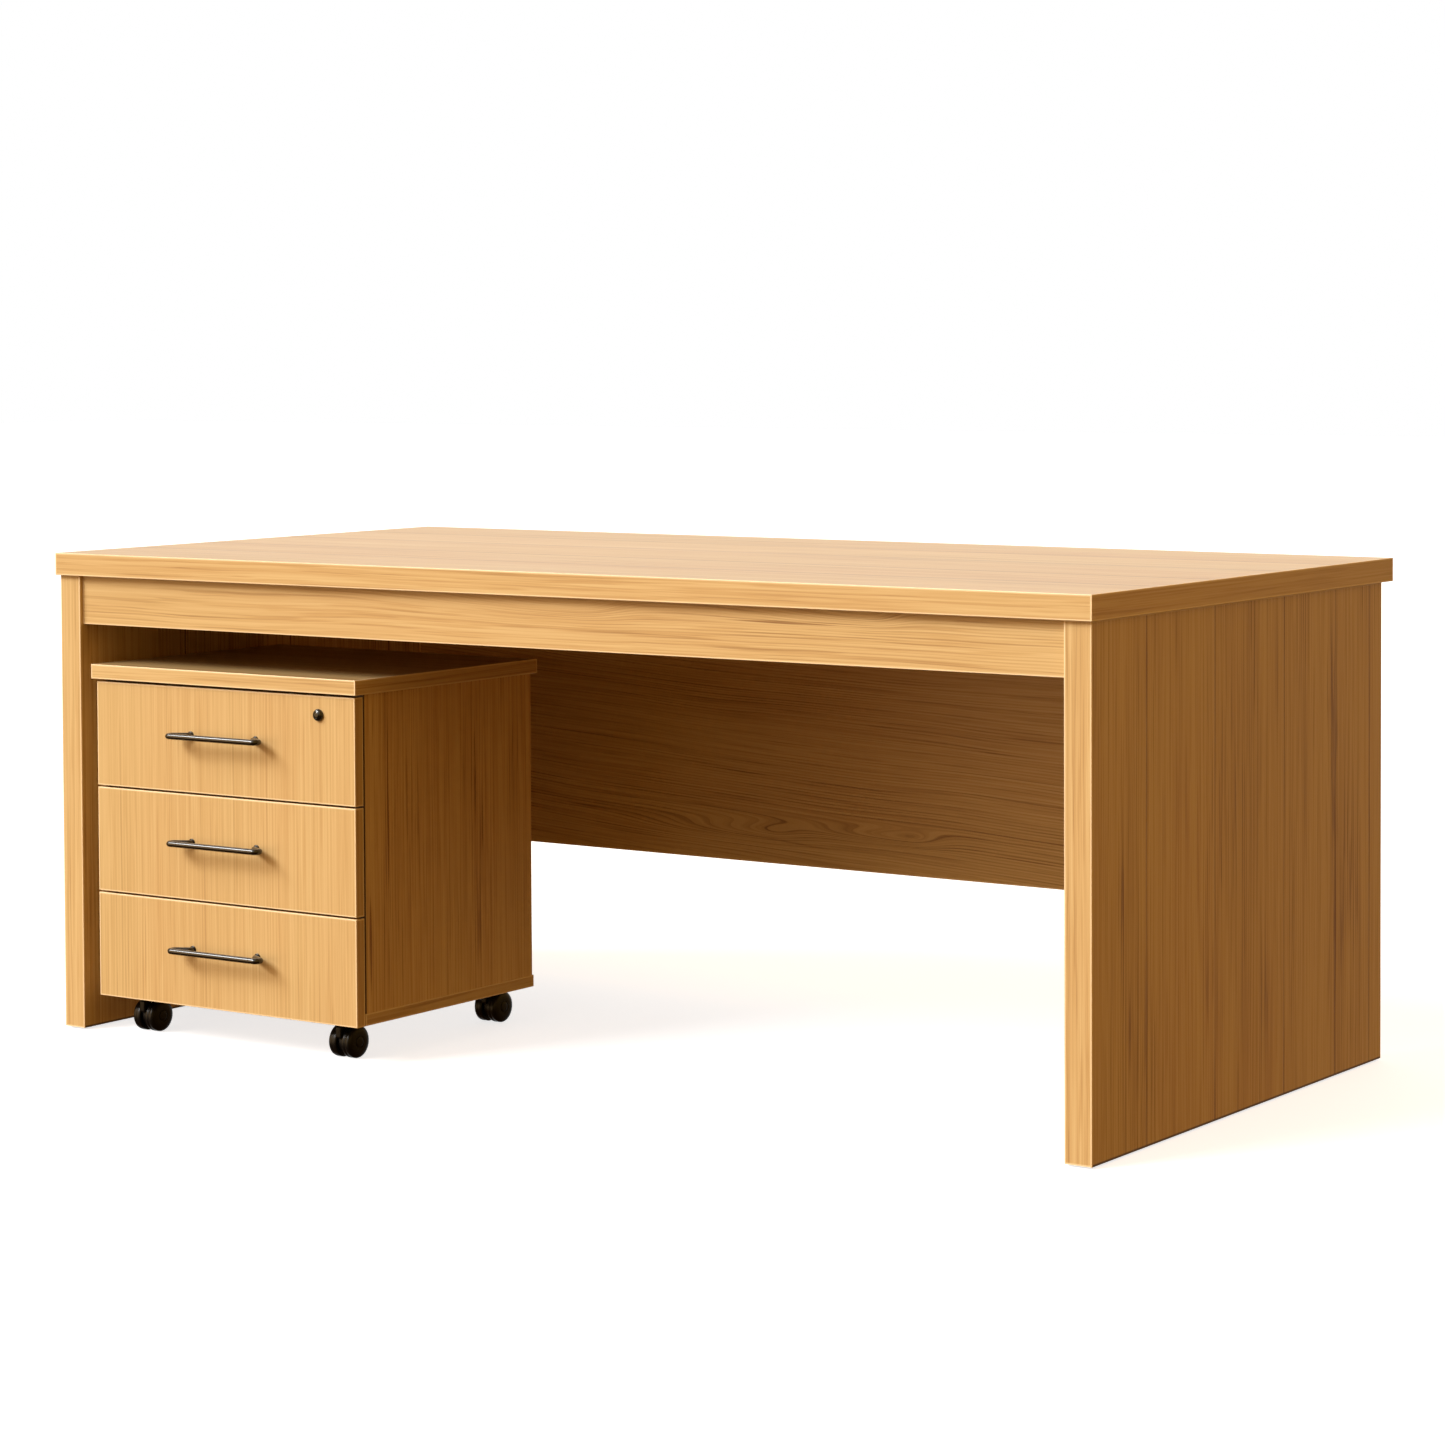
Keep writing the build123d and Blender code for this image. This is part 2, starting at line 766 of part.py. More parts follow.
def make_lock():
    face = Vector(lock_x, ped_front, lock_z)
    barrel_length = board + 4
    with BuildPart() as housing:
        add_rod(face, BACK, lock_barrel, barrel_length)
        add_rod(face, BACK * -1, lock_flange, lock_flange_thickness)
        rim = housing.edges().filter_by(GeomType.CIRCLE).sort_by(Axis.Y)[0]
        fillet(rim, radius=lock_dome)
        start = face - BACK * lock_flange_thickness
        length = barrel_length + lock_flange_thickness
        add_rod(start, BACK, lock_plug_radius + running_fit, length, Mode.SUBTRACT)
    save(housing, "lock_housing")
    plug_front = face - BACK * (lock_flange_thickness + 0.3)
    plug_length = barrel_length + lock_flange_thickness + 1.1
    with BuildPart() as plug:
        add_rod(plug_front, BACK, lock_plug_radius, plug_length)
        slot_x = (lock_x - 0.6, lock_x + 0.6)
        slot_y = (plug_front.Y, plug_front.Y + 8)
        add_box(slot_x, slot_y, (lock_z - 3, lock_z + 3), Mode.SUBTRACT)
        tang = (lock_x - lock_tang / 2, lock_x + lock_tang / 2)
        tang_y = (plug_front.Y + plug_length, plug_front.Y + plug_length + lock_cam_thickness + 0.5)
        add_box(tang, tang_y, (lock_z - lock_tang / 2, lock_z + lock_tang / 2))
    save(plug, "lock_plug")
    cam_y = plug_front.Y + plug_length
    with BuildPart() as cam:
        with BuildSketch(Plane(origin=(0, cam_y, 0), x_dir=(1, 0, 0), z_dir=(0, -1, 0))):
            with Locations((lock_x - lock_cam_length / 2 + lock_cam_width / 4, lock_z)):
                SlotOverall(lock_cam_length + lock_cam_width / 2, lock_cam_width)
            with Locations((lock_x, lock_z)):
                Rectangle(lock_tang, lock_tang, mode=Mode.SUBTRACT)
        extrude(amount=-lock_cam_thickness)
    save(cam, "lock_cam")


make_lock()
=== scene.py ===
import json
import math

import bpy
from mathutils import Euler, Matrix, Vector


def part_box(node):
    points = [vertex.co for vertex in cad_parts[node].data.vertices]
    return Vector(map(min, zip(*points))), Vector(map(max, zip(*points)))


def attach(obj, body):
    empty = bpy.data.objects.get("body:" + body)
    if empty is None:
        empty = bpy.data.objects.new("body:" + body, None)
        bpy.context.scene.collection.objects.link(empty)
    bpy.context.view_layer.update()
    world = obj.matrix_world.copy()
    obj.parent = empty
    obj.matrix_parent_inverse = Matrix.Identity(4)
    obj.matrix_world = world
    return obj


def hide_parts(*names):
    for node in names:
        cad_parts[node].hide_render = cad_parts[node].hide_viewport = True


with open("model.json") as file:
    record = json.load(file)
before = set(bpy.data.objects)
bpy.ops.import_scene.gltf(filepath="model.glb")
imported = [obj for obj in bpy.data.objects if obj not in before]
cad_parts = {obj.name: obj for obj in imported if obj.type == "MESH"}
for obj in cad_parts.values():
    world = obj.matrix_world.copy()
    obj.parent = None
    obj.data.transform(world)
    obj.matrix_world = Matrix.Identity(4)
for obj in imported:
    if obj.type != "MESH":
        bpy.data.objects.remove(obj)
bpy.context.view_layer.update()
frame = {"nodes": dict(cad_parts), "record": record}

nodes = frame["nodes"]
print("frame loaded:", len(nodes), "nodes")


class Wire:
    # a socket in a sum: each operator adds a Math node to its finish
    def __init__(self, finish, socket):
        self.finish, self.socket = finish, socket

    def __add__(self, other):
        return self.finish.math("ADD", self, other)

    __radd__ = __add__

    def __sub__(self, other):
        return self.finish.math("SUBTRACT", self, other)

    def __rsub__(self, other):
        return self.finish.math("SUBTRACT", other, self)

    def __mul__(self, other):
        return self.finish.math("MULTIPLY", self, other)

    def __truediv__(self, other):
        return self.finish.math("DIVIDE", self, other)

    def __gt__(self, other):
        return self.finish.math("GREATER_THAN", self, other)

    def __abs__(self):
        return self.finish.math("ABSOLUTE", self)


class Finish:
    # a material under construction, with its Principled shader
    def __init__(self, name, metallic=0.0, **uniform):
        self.material = bpy.data.materials.new(name)
        self.material.use_nodes = True
        self.tree = self.material.node_tree
        self.shader = self.tree.nodes["Principled BSDF"]
        self.shader.inputs["Metallic"].default_value = metallic
        for key, value in uniform.items():
            self.shader.inputs[key.replace("_", " ")].default_value = value

    def feed(self, socket, value):
        if isinstance(value, Wire):
            self.tree.links.new(value.socket, socket)
        elif isinstance(value, (tuple, list)) and len(value) == 3 and socket.type == "RGBA":
            socket.default_value = (*value, 1)
        else:
            socket.default_value = value

    def node(self, kind, settings=None, values=None, output=0):
        made = self.tree.nodes.new(kind)
        for key, value in (settings or {}).items():
            setattr(made, key, value)
        for key, value in (values or {}).items():
            self.feed(made.inputs[key], value)
        return Wire(self, made.outputs[output])

    def math(self, operation, *values):
        return self.node("ShaderNodeMath", {"operation": operation}, dict(enumerate(values)))

    def places(self):
        spot = self.node("ShaderNodeTexCoord", output="Object")
        return [self.node("ShaderNodeSeparateXYZ", None, {0: spot}, axis) for axis in "XYZ"]

    def vector(self, x, y, z):
        return self.node("ShaderNodeCombineXYZ", None, {0: x, 1: y, 2: z})

    def noise(self, spot, scale, detail=2.0, roughness=0.5):
        values = {"Vector": spot, "Scale": scale, "Detail": detail, "Roughness": roughness}
        return self.node("ShaderNodeTexNoise", None, values, "Fac")

    def smooth(self, value, low, high, start=0.0, end=1.0):
        values = {"Value": value, "From Min": low, "From Max": high, "To Min": start, "To Max": end}
        return self.node("ShaderNodeMapRange", {"interpolation_type": "SMOOTHSTEP"}, values)

    def mix(self, amount, first, second, blend="MIX"):
        settings = {"data_type": "RGBA", "blend_type": blend}
        return self.node("ShaderNodeMix", settings, {0: amount, 6: first, 7: second}, 2)

    def bump(self, height, distance, strength=1.0):
        values = {"Height": height, "Distance": distance, "Strength": strength}
        return self.node("ShaderNodeBump", None, values)

    def use(self, **sockets):
        for key, value in sockets.items():
            self.feed(self.shader.inputs[key.replace("_", " ")], value)
        return self.material


def paint(piece, material):
    piece.data.materials.clear()
    piece.data.materials.append(material)


# Wood veneer: grain runs along one axis and its lines lie side by side across it; the boards also carry a
# painted edge highlight and painted shade lines
woodTones = {
    "gold": (0.66, 0.465, 0.215), "honey": (0.56, 0.365, 0.145), "rose": (0.56, 0.345, 0.135),
    # the last two tones are painted light: a pale highlight along board edges and a dark shade at joints and
    # feet
    "line": (0.24, 0.110, 0.028), "arris": (0.98, 0.78, 0.50), "paintedShade": (0.045, 0.018, 0.006),
}

plainGrain = {
    "along": "z", "across": "y", "seed": 1.0,
    "rings": 150, "ringDepth": 0.26, "fibre": 230, "fibreDepth": 1.7, "bandDepth": 0.6, "crackDepth": 0.9,
    "turnAt": None, "wave": 0.006, "waveAlong": 1.6, "waveAcross": 5.0, "slant": 0.0,
    "seams": (), "seamWidth": 0.0022, "seamDepth": 0.9, "patchwork": 0.16,
    "knots": (),        # where along and across, half length and half width, how many rings it bends
    "flecks": (),       # where along and across, half length and half width, how dark
    "shadows": (),      # painted shade lines: axis, where on it, width, how dark
    # the edge amount sets how strongly the painted edge highlight shows
    "pores": 310, "poreDepth": 0.26, "arris": 0.75, "tint": 1.0,
}


# noise layers: scale into the board and along it, how far the seed shifts them across and along, octaves
grainLayers = {
    "fibre": {"inward": 120, "along": 2.1, "seedShift": (1, 1), "octaves": 4.0, "roughness": 0.66},
    "pores": {"inward": 60, "along": 5, "seedShift": (2, 1), "octaves": 2.0, "roughness": 0.5},
    "fade": {"inward": 9, "along": 0.8, "seedShift": (1, 0), "octaves": 2.0, "roughness": 0.5},
    "crack": {"inward": 150, "along": 3.2, "seedShift": (3, 0), "octaves": 1.5, "roughness": 0.5},
    "band": {"inward": 15, "along": 0.7, "seedShift": (5, 0), "octaves": 2.5, "roughness": 0.5},
    "hue": {"inward": 6, "along": 0.9, "seedShift": (7, 1), "octaves": 2.0, "roughness": 0.5},
}

veneer = {
    "coat": 0.10, "coatRoughness": 0.30, "stripReach": 0.0025, "driftInward": 3, "lean": 0.35,
    "knotTip": -0.3, "seamCore": 0.3, "ringDrift": 0.8, "ringFibre": 0.9, "lateWood": (0.25, 0.9),
    "fade": (0.35, 0.65), "crack": (0.66, 0.80), "pores": (0.50, 0.62), "poreMiddle": 0.35,
    "hue": (0.35, 0.65), "fleckLines": 0.8, "fleckDrift": 0.006,
    # one pair below sets how wide the painted edge highlight runs in from each edge
    "goldFade": (-0.35, 0.25), "lineFade": (0.05, 1.0), "arrisFade": (0.0030, 0.0008), "shadowCore": 0.4,
    "roughness": 0.40, "fibreRoughness": 0.22, "crackRoughness": 0.1,
    "relief": 0.6, "bumpHeight": 0.0002, "bumpStrength": 0.35,
}


def boxOf(*names):
    boxes = [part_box(name) for name in names]
    low = [min(box[0][axis] for box in boxes) for axis in range(3)]
    high = [max(box[1][axis] for box in boxes) for axis in range(3)]
    return low, high


def edgeNearness(wood, spots, solid, paired):
    # how far a point on a board's face is from that board's nearest arris
    gaps = []
    for axis, spot in enumerate(spots):
        middle = (solid[0][axis] + solid[1][axis]) / 2
        reach = (solid[1][axis] - solid[0][axis]) / 2
        if paired and axis == 0:      # one node holds the same board on both sides of x = 0
            spot = abs(spot)
        gaps.append(reach - abs(spot - middle))
    first = wood.math("MINIMUM", gaps[0], gaps[1])
    second = wood.math("MINIMUM", wood.math("MAXIMUM", gaps[0], gaps[1]), gaps[2])
    return wood.math("MAXIMUM", first, second)


def bell(wood, first, second):
    # 1 in the middle of a spot, falling away around it
    return wood.math("EXPONENT", (first * first + second * second) * -1)


def streaks(wood, layer, across, depth, along, seed):
    # noise drawn out along the grain
    scales = grainLayers[layer]
    shiftAcross, shiftAlong = scales["seedShift"]
    lengthwise = along * scales["along"] + seed * shiftAlong
    spot = wood.vector(across + seed * shiftAcross, depth * scales["inward"], lengthwise)
    return wood.noise(spot, 1.0, scales["octaves"], scales["roughness"])


def grainPlace(spots, look):
    # where a point is along the grain, across it and into the board
    axes = dict(zip("xyz", spots))
    along, across = axes[look["along"]], axes[look["across"]]
    depth = next(spot for axis, spot in axes.items() if axis not in (look["along"], look["across"]))
    if look["turnAt"]:      # strips on the short sides have their grain along y
        middle, half = look["turnAt"]
        side = abs(spots[0] - middle) > half - veneer["stripReach"]
        along, depth = along + (depth - along) * side, depth + (along - depth) * side
    return along, across, depth


def growthRings(wood, line, along, across, look):
    # the count of rings across the board, bent round its knots
    field = line * look["rings"]
    for middle, height, length, width, turns in look["knots"]:
        far = (along - middle) / length
        far = wood.math("MAXIMUM", far, far * veneer["knotTip"])      # a blunt tip and a long tail
        field = field + bell(wood, far, (across - height) / width) * turns
    return field


def plankSeams(wood, across, look):
    # how dark the seams are, and a number for the plank a point is in
    shade = 0.0
    plank = 0.0
    for seam in look["seams"]:
        core = look["seamWidth"] * veneer["seamCore"]
        shade = wood.smooth(abs(across - seam), look["seamWidth"], core) + shade
        plank = (across > seam) + plank
    return shade, plank


def fleckShade(wood, along, across, drift, pores, look):
    # short runs of dark pore lines
    shade = 0.0
    lines = pores * veneer["fleckLines"] + (1 - veneer["fleckLines"])
    for middle, height, length, width, amount in look["flecks"]:
        side = (across - height + drift * veneer["fleckDrift"]) / width
        shade = bell(wood, (along - middle) / length, side) * lines * amount + shade
    return shade


def boardWood(name, solid, look, paired=False):
    wood = Finish(name, Coat_Weight=veneer["coat"], Coat_Roughness=veneer["coatRoughness"])
    spots = wood.places()
    along, across, depth = grainPlace(spots, look)
    seed = look["seed"]
    driftAlong = along * look["waveAlong"] + seed
    driftSpot = wood.vector(across * look["waveAcross"] + seed, depth * veneer["driftInward"], driftAlong)
    drift = wood.noise(driftSpot, 1.0) - 0.5
    line = across + depth * veneer["lean"] + drift * look["wave"] + along * look["slant"]
    field = growthRings(wood, line, along, across, look)
    seamShade, plank = plankSeams(wood, across, look)

    fibre = streaks(wood, "fibre", field * (look["fibre"] / look["rings"]), depth, along, seed)
    pores = streaks(wood, "pores", field * (look["pores"] / look["rings"]), depth, along, seed)
    fade, crack, band, hue = (
        streaks(wood, layer, line * grainLayers[layer]["inward"], depth, along, seed)
        for layer in ("fade", "crack", "band", "hue")
    )
    fade = wood.smooth(fade, *veneer["fade"])
    crack = wood.smooth(crack, *veneer["crack"])
    pores = wood.smooth(pores, *veneer["pores"])
    ring = wood.math("FRACT", field + drift * veneer["ringDrift"] + (fibre - 0.5) * veneer["ringFibre"])
    late = wood.smooth(ring, *veneer["lateWood"]) * wood.smooth(ring, 1.0, veneer["lateWood"][1]) * fade

    dark = late * look["ringDepth"] + (fibre - 0.5) * look["fibreDepth"] + (band - 0.5) * look["bandDepth"]
    dark = dark + crack * look["crackDepth"] * fade + (pores - veneer["poreMiddle"]) * look["poreDepth"]
    dark = dark + fleckShade(wood, along, across, drift, pores, look)
    if look["seams"]:
        chance = wood.node("ShaderNodeTexWhiteNoise", {"noise_dimensions": "1D"}, {"W": plank + seed})
        dark = dark + seamShade * look["seamDepth"] + (chance - 0.5) * look["patchwork"]

    # tint scales every tone of a board; on some boards it paints light or shade
    tones = {key: tuple(part * look["tint"] for part in tone) for key, tone in woodTones.items()}
    body = wood.mix(wood.smooth(hue, *veneer["hue"]), tones["honey"], tones["rose"])
    colour = wood.mix(wood.smooth(dark, *veneer["goldFade"], 1.0, 0.0), body, tones["gold"])
    colour = wood.mix(wood.smooth(dark, *veneer["lineFade"]), colour, tones["line"])
    # painted highlight: a paler tone along every edge of a board, where the edges would catch the light
    arris = wood.smooth(edgeNearness(wood, spots, solid, paired), *veneer["arrisFade"])
    colour = wood.mix(arris * look["arris"], colour, tones["arris"])
    for axis, level, width, amount in look["shadows"]:      # painted shade along a joint and at a foot
        gap = abs(spots["xyz".index(axis)] - level)
        shadow = wood.smooth(gap, width, width * veneer["shadowCore"])
        colour = wood.mix(shadow * amount, colour, woodTones["paintedShade"])
    rough = veneer["roughness"] + (fibre - 0.5) * veneer["fibreRoughness"] + crack * veneer["crackRoughness"]
    relief = fibre * -veneer["relief"] - crack * veneer["relief"] - seamShade
    bump = wood.bump(relief, veneer["bumpHeight"], veneer["bumpStrength"])
    return wood.use(Base_Color=colour, Roughness=rough, Normal=bump)


# the right leg's seams and flecks, and the painted shade at both feet
legSeams = (-0.287, -0.095, 0.113, 0.276, 0.389)
legFlecks = (
    (0.340, -0.356, 0.080, 0.008, 0.6), (0.170, -0.334, 0.060, 0.010, 0.5),
    (0.260, -0.120, 0.240, 0.022, 0.3), (0.560, 0.265, 0.080, 0.018, 0.5),
    (0.380, 0.290, 0.200, 0.040, 0.35), (0.150, 0.050, 0.080, 0.022, 0.35),
    (0.450, -0.050, 0.150, 0.050, 0.3), (0.100, -0.280, 0.100, 0.030, 0.3),
    (0.200, 0.330, 0.160, 0.030, 0.3),
)
# painted shade: a dark strip along the legs' bottom edges, where they meet the floor
legFootShade = ("z", 0.003, 0.0040, 0.9)


def grain(along, across, **changes):
    return {**plainGrain, "along": along, "across": across, **changes}


apronGrain = grain(
    "x", "z", seed=8.8, rings=230, ringDepth=0.34, wave=0.012, waveAlong=2.2, waveAcross=9, slant=0.006,
    fibre=260, fibreDepth=1.2, bandDepth=0.35,
    knots=(
        (0.086, 0.692, 0.07, 0.022, 6.0), (0.562, 0.690, 0.05, 0.016, 4.6), (-0.55, 0.640, 0.16, 0.03, 2.4),
    ),
)
# the modesty panel gets a lighter tint: painted light on a board that sits in shade under the desk
modestyGrain = grain(
    "x", "z", seed=4.6, rings=210, ringDepth=0.42, wave=0.03, waveAlong=1.3, waveAcross=3.0, slant=0.05,
    fibre=260, fibreDepth=1.4, bandDepth=0.5, tint=1.14,
    knots=(
        (-0.14, 0.262, 0.07, 0.016, 5.0), (0.12, 0.272, 0.06, 0.013, 5.0), (0.05, 0.52, 0.30, 0.05, 3.0),
    ),
)
deskSolid = boxOf("desktop", "desktop_edge_bands")
capSolid = boxOf("pedestal_top", "pedestal_top_edge_bands")
rightLegSolid = boxOf("right_leg_panel")
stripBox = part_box("leg_edge_bands")
rightLegSolid[0][1], rightLegSolid[1][1] = stripBox[0][1], stripBox[1][1]
(inner, *legLow), (outer, *legHigh) = rightLegSolid
leftLegSolid = [[-outer, *legLow], [-inner, *legHigh]]
deskTurn, capTurn = (
    ((solid[0][0] + solid[1][0]) / 2, (solid[1][0] - solid[0][0]) / 2) for solid in (deskSolid, capSolid)
)
stripGrain = {"rings": 90, "ringDepth": 0.12, "bandDepth": 0.3}
# painted shade: a dark line down the sides' front edges, where the gap behind the drawer fronts lies in
# shade
sideFrontShade = ("y", boxOf("pedestal_right_side")[0][1], 0.0026, 0.95)
sideFlecks = (
    (0.380, -0.150, 0.090, 0.016, 0.6), (0.230, -0.135, 0.110, 0.014, 0.5),
    (0.330, -0.290, 0.140, 0.020, 0.3), (0.200, -0.350, 0.100, 0.020, 0.3),
    (0.430, -0.050, 0.080, 0.016, 0.3),
)

drawerNames = ("bottom", "middle", "top")
boardLooks = {
    "desktop": (deskSolid, grain(
        "x", "y", seed=2.1, seams=(-0.26, -0.10, 0.10, 0.27), seamWidth=0.003, slant=0.004,
        rings=90, fibreDepth=1.1, bandDepth=0.4, ringDepth=0.2, crackDepth=0.5,
    )),
    "desktop_edge_bands": (deskSolid, grain("x", "z", seed=3.4, turnAt=deskTurn, **stripGrain)),
    "left_leg_panel": (leftLegSolid, grain(
        "z", "y", seed=0.7, seams=(-0.2, 0.05, 0.3), patchwork=0.08, shadows=(legFootShade,),
    )),
    "right_leg_panel": (rightLegSolid, grain(
        "z", "y", seed=0.45, seams=legSeams, seamDepth=0.7, flecks=legFlecks, shadows=(legFootShade,),
    )),
    "front_apron": (boxOf("front_apron"), apronGrain),
    "modesty_panel": (boxOf("modesty_panel"), modestyGrain),
    # the cap's top gets a darker tint: painted shade from the desktop above it
    "pedestal_top": (capSolid, grain("x", "y", seed=6.1, tint=0.66)),
    "pedestal_top_edge_bands": (capSolid, grain("x", "z", seed=9.3, turnAt=capTurn, **stripGrain)),
    "pedestal_left_side": (boxOf("pedestal_left_side"), grain(
        "z", "y", seed=1.9, arris=0.0, shadows=(sideFrontShade,),
    )),
    # the right side gets a lighter tint: painted light on a side turned away from the key lights
    "pedestal_right_side": (boxOf("pedestal_right_side"), grain(
        "z", "y", seed=7.7, arris=0.0, crackDepth=1.1, shadows=(sideFrontShade,), flecks=sideFlecks, tint=1.18,
    )),
    "pedestal_back": (boxOf("pedestal_back"), grain("z", "x", seed=2.6)),
    "pedestal_bottom": (boxOf("pedestal_bottom"), grain("y", "x", seed=3.1)),
}
for drawer in drawerNames:
    front = f"drawer_{drawer}_front"
    boardLooks[front] = (boxOf(front), grain(
        "z", "x", seed=2.9, rings=170, fibre=290, fibreDepth=1.1, bandDepth=0.2, crackDepth=0.4,
        poreDepth=0.16,
    ))
for name, (solid, look) in boardLooks.items():
    paint(nodes[name], boardWood("wood_" + name, solid, look))
legStrip = grain("z", "x", seed=5.2, **stripGrain)
paint(nodes["leg_edge_bands"], boardWood("wood_leg_edge_bands", rightLegSolid, legStrip, paired=True))
print("boards finished")


smoothBoard = {
    "mottle": 60, "speck": 14.0, "mottleShare": 0.6, "blend": (0.3, 0.7),
    "roughness": 0.5, "speckRoughness": 0.12, "bumpHeight": 0.0001, "bumpStrength": 0.3,
}


def drawerBoard(name, pale, dark):
    board = Finish(name)
    x, y, z = (spot * smoothBoard["mottle"] for spot in board.places())
    spot = board.vector(x, y, z)
    mottle = board.noise(spot, 1.0, 4.0, 0.6)
    speck = board.noise(spot, smoothBoard["speck"])
    share = smoothBoard["mottleShare"]
    colour = board.mix(board.smooth(mottle * share + speck * (1 - share), *smoothBoard["blend"]), pale, dark)
    bump = board.bump(speck, smoothBoard["bumpHeight"], smoothBoard["bumpStrength"])
    rough = smoothBoard["roughness"] + speck * smoothBoard["speckRoughness"]
    return board.use(Base_Color=colour, Roughness=rough, Normal=bump)


plating = {
    "cloud": 90.0, "cloudRange": (0.3, 0.8), "cloudShare": 0.5, "dull": 0.72,
    "roughness": 0.28, "cloudRoughness": 0.06, "scratchRoughness": 0.10,
    "bumpHeight": 0.00004, "bumpStrength": 0.4,
}


def zinc(name, tint, brush):
    metal = Finish(name, metallic=1.0)
    x, y, z = metal.places()
    scratch = metal.noise(metal.vector(x * brush[0], y * brush[1], z * brush[2]), 1.0, 3.0, 0.6)
    cloud = metal.noise(metal.vector(x, y, z), plating["cloud"], 3.0)
    dull = tuple(part * plating["dull"] for part in tint)
    colour = metal.mix(metal.smooth(cloud, *plating["cloudRange"]) * plating["cloudShare"], tint, dull)
    rough = plating["roughness"] + cloud * plating["cloudRoughness"] + scratch * plating["scratchRoughness"]
    bump = metal.bump(scratch, plating["bumpHeight"], plating["bumpStrength"])
    return metal.use(Base_Color=colour, Roughness=rough, Normal=bump)


moulding = {
    "specular": 0.28, "worn": 35.0, "wornRange": (0.45, 0.8), "wornShare": 0.5, "paler": 1.6, "lift": 0.001,
    "pebbleRoughness": 0.12, "wornRoughness": 0.08, "bumpHeight": 0.00006, "bumpStrength": 0.5,
}


def blackMoulding(name, tint, roughness, grainScale):
    plastic = Finish(name, Specular_IOR_Level=moulding["specular"])
    spot = plastic.vector(*plastic.places())
    pebble = plastic.noise(spot, grainScale)
    worn = plastic.noise(spot, moulding["worn"], 3.0)
    paler = tuple(part * moulding["paler"] + moulding["lift"] for part in tint)
    wear = plastic.smooth(worn, *moulding["wornRange"]) * moulding["wornShare"]
    rough = roughness + pebble * moulding["pebbleRoughness"] + worn * moulding["wornRoughness"]
    bump = plastic.bump(pebble, moulding["bumpHeight"], moulding["bumpStrength"])
    return plastic.use(Base_Color=plastic.mix(wear, tint, paler), Roughness=rough, Normal=bump)


nickel = {
    "specular": 0.8, "brush": (12, 900, 900), "cloud": 60.0,
    "tones": ((0.002, 0.002, 0.002), (0.005, 0.005, 0.005)),
    "roughness": 0.07, "brushedRoughness": 0.06, "cloudRoughness": 0.03,
    "bumpHeight": 0.00001, "bumpStrength": 0.1,
}


def blackNickel(name):
    # glossy black over finely brushed metal
    metal = Finish(name, Specular_IOR_Level=nickel["specular"])
    spots = metal.places()
    stretched = metal.vector(*(spot * scale for spot, scale in zip(spots, nickel["brush"])))
    brushed = metal.noise(stretched, 1.0, 3.0)
    cloud = metal.noise(metal.vector(*spots), nickel["cloud"])
    colour = metal.mix(cloud, *nickel["tones"])
    rough = nickel["roughness"] + brushed * nickel["brushedRoughness"] + cloud * nickel["cloudRoughness"]
    bump = metal.bump(brushed, nickel["bumpHeight"], nickel["bumpStrength"])
    return metal.use(Base_Color=colour, Roughness=rough, Normal=bump)


finishes = {
    "drawer_box_board": drawerBoard("drawer_box_board", (0.80, 0.72, 0.58), (0.72, 0.62, 0.46)),
    "drawer_base_board": drawerBoard("drawer_base_board", (0.70, 0.60, 0.45), (0.60, 0.49, 0.35)),
    "zinc_steel": zinc("zinc_steel", (0.66, 0.66, 0.63), (200, 200, 200)),
    "runner_steel": zinc("runner_steel", (0.68, 0.69, 0.70), (900, 8, 900)),
    "handle_black": blackNickel("handle_black"),
    "lock_black": blackNickel("lock_black"),
    "caster_plastic": blackMoulding("caster_plastic", (0.004, 0.004, 0.0045), 0.34, 2600.0),
    "caster_wheel": blackMoulding("caster_wheel", (0.003, 0.0033, 0.0036), 0.22, 1800.0),
    "glide_plastic": blackMoulding("glide_plastic", (0.03, 0.02, 0.014), 0.40, 2600.0),
    "dowel_wood": drawerBoard("dowel_wood", (0.70, 0.50, 0.28), (0.60, 0.40, 0.20)),
}
for part in frame["record"]["subparts"]:
    if part["material_slot"] in finishes:
        paint(nodes[part["node"]], finishes[part["material_slot"]])
print("hardware finished")


# Modelling helpers
alongX, alongY = (0, math.pi / 2, 0), (math.pi / 2, 0, 0)      # turns for round pieces
weld = 0.00001


def deselect():
    if bpy.context.object and bpy.context.object.mode != "OBJECT":
        bpy.ops.object.mode_set(mode="OBJECT")
    bpy.ops.object.select_all(action="DESELECT")


def selectOnly(piece):
    deselect()
    piece.select_set(True)
    bpy.context.view_layer.objects.active = piece


def started(name):
    piece = bpy.context.object
    piece.name = name
    bpy.ops.object.transform_apply(location=True, rotation=True, scale=True)
    return piece


def pickFaces(piece, test):
    bpy.ops.object.mode_set(mode="EDIT")
    bpy.ops.mesh.select_mode(type="FACE")
    bpy.ops.mesh.select_all(action="DESELECT")
    bpy.ops.object.mode_set(mode="OBJECT")
    for face in piece.data.polygons:
        face.select = test(face.center, face.normal)
    bpy.ops.object.mode_set(mode="EDIT")


def pickEdges(piece, test):
    bpy.ops.object.mode_set(mode="EDIT")
    bpy.ops.mesh.select_mode(type="EDGE")
    bpy.ops.mesh.select_all(action="DESELECT")
    bpy.ops.object.mode_set(mode="OBJECT")
    points = piece.data.vertices
    for edge in piece.data.edges:
        edge.select = test(*(points[end].co for end in edge.vertices))
    bpy.ops.object.mode_set(mode="EDIT")


def push(way, amount):
    # extrudes what is selected along a direction
    bpy.ops.mesh.extrude_region_move(TRANSFORM_OT_translate={"value": Vector(way) * amount})


def shrink(factor, middle, axis):
    scale = [1.0 if spot == axis else factor for spot in range(3)]
    bpy.ops.transform.resize(value=scale, center_override=middle)


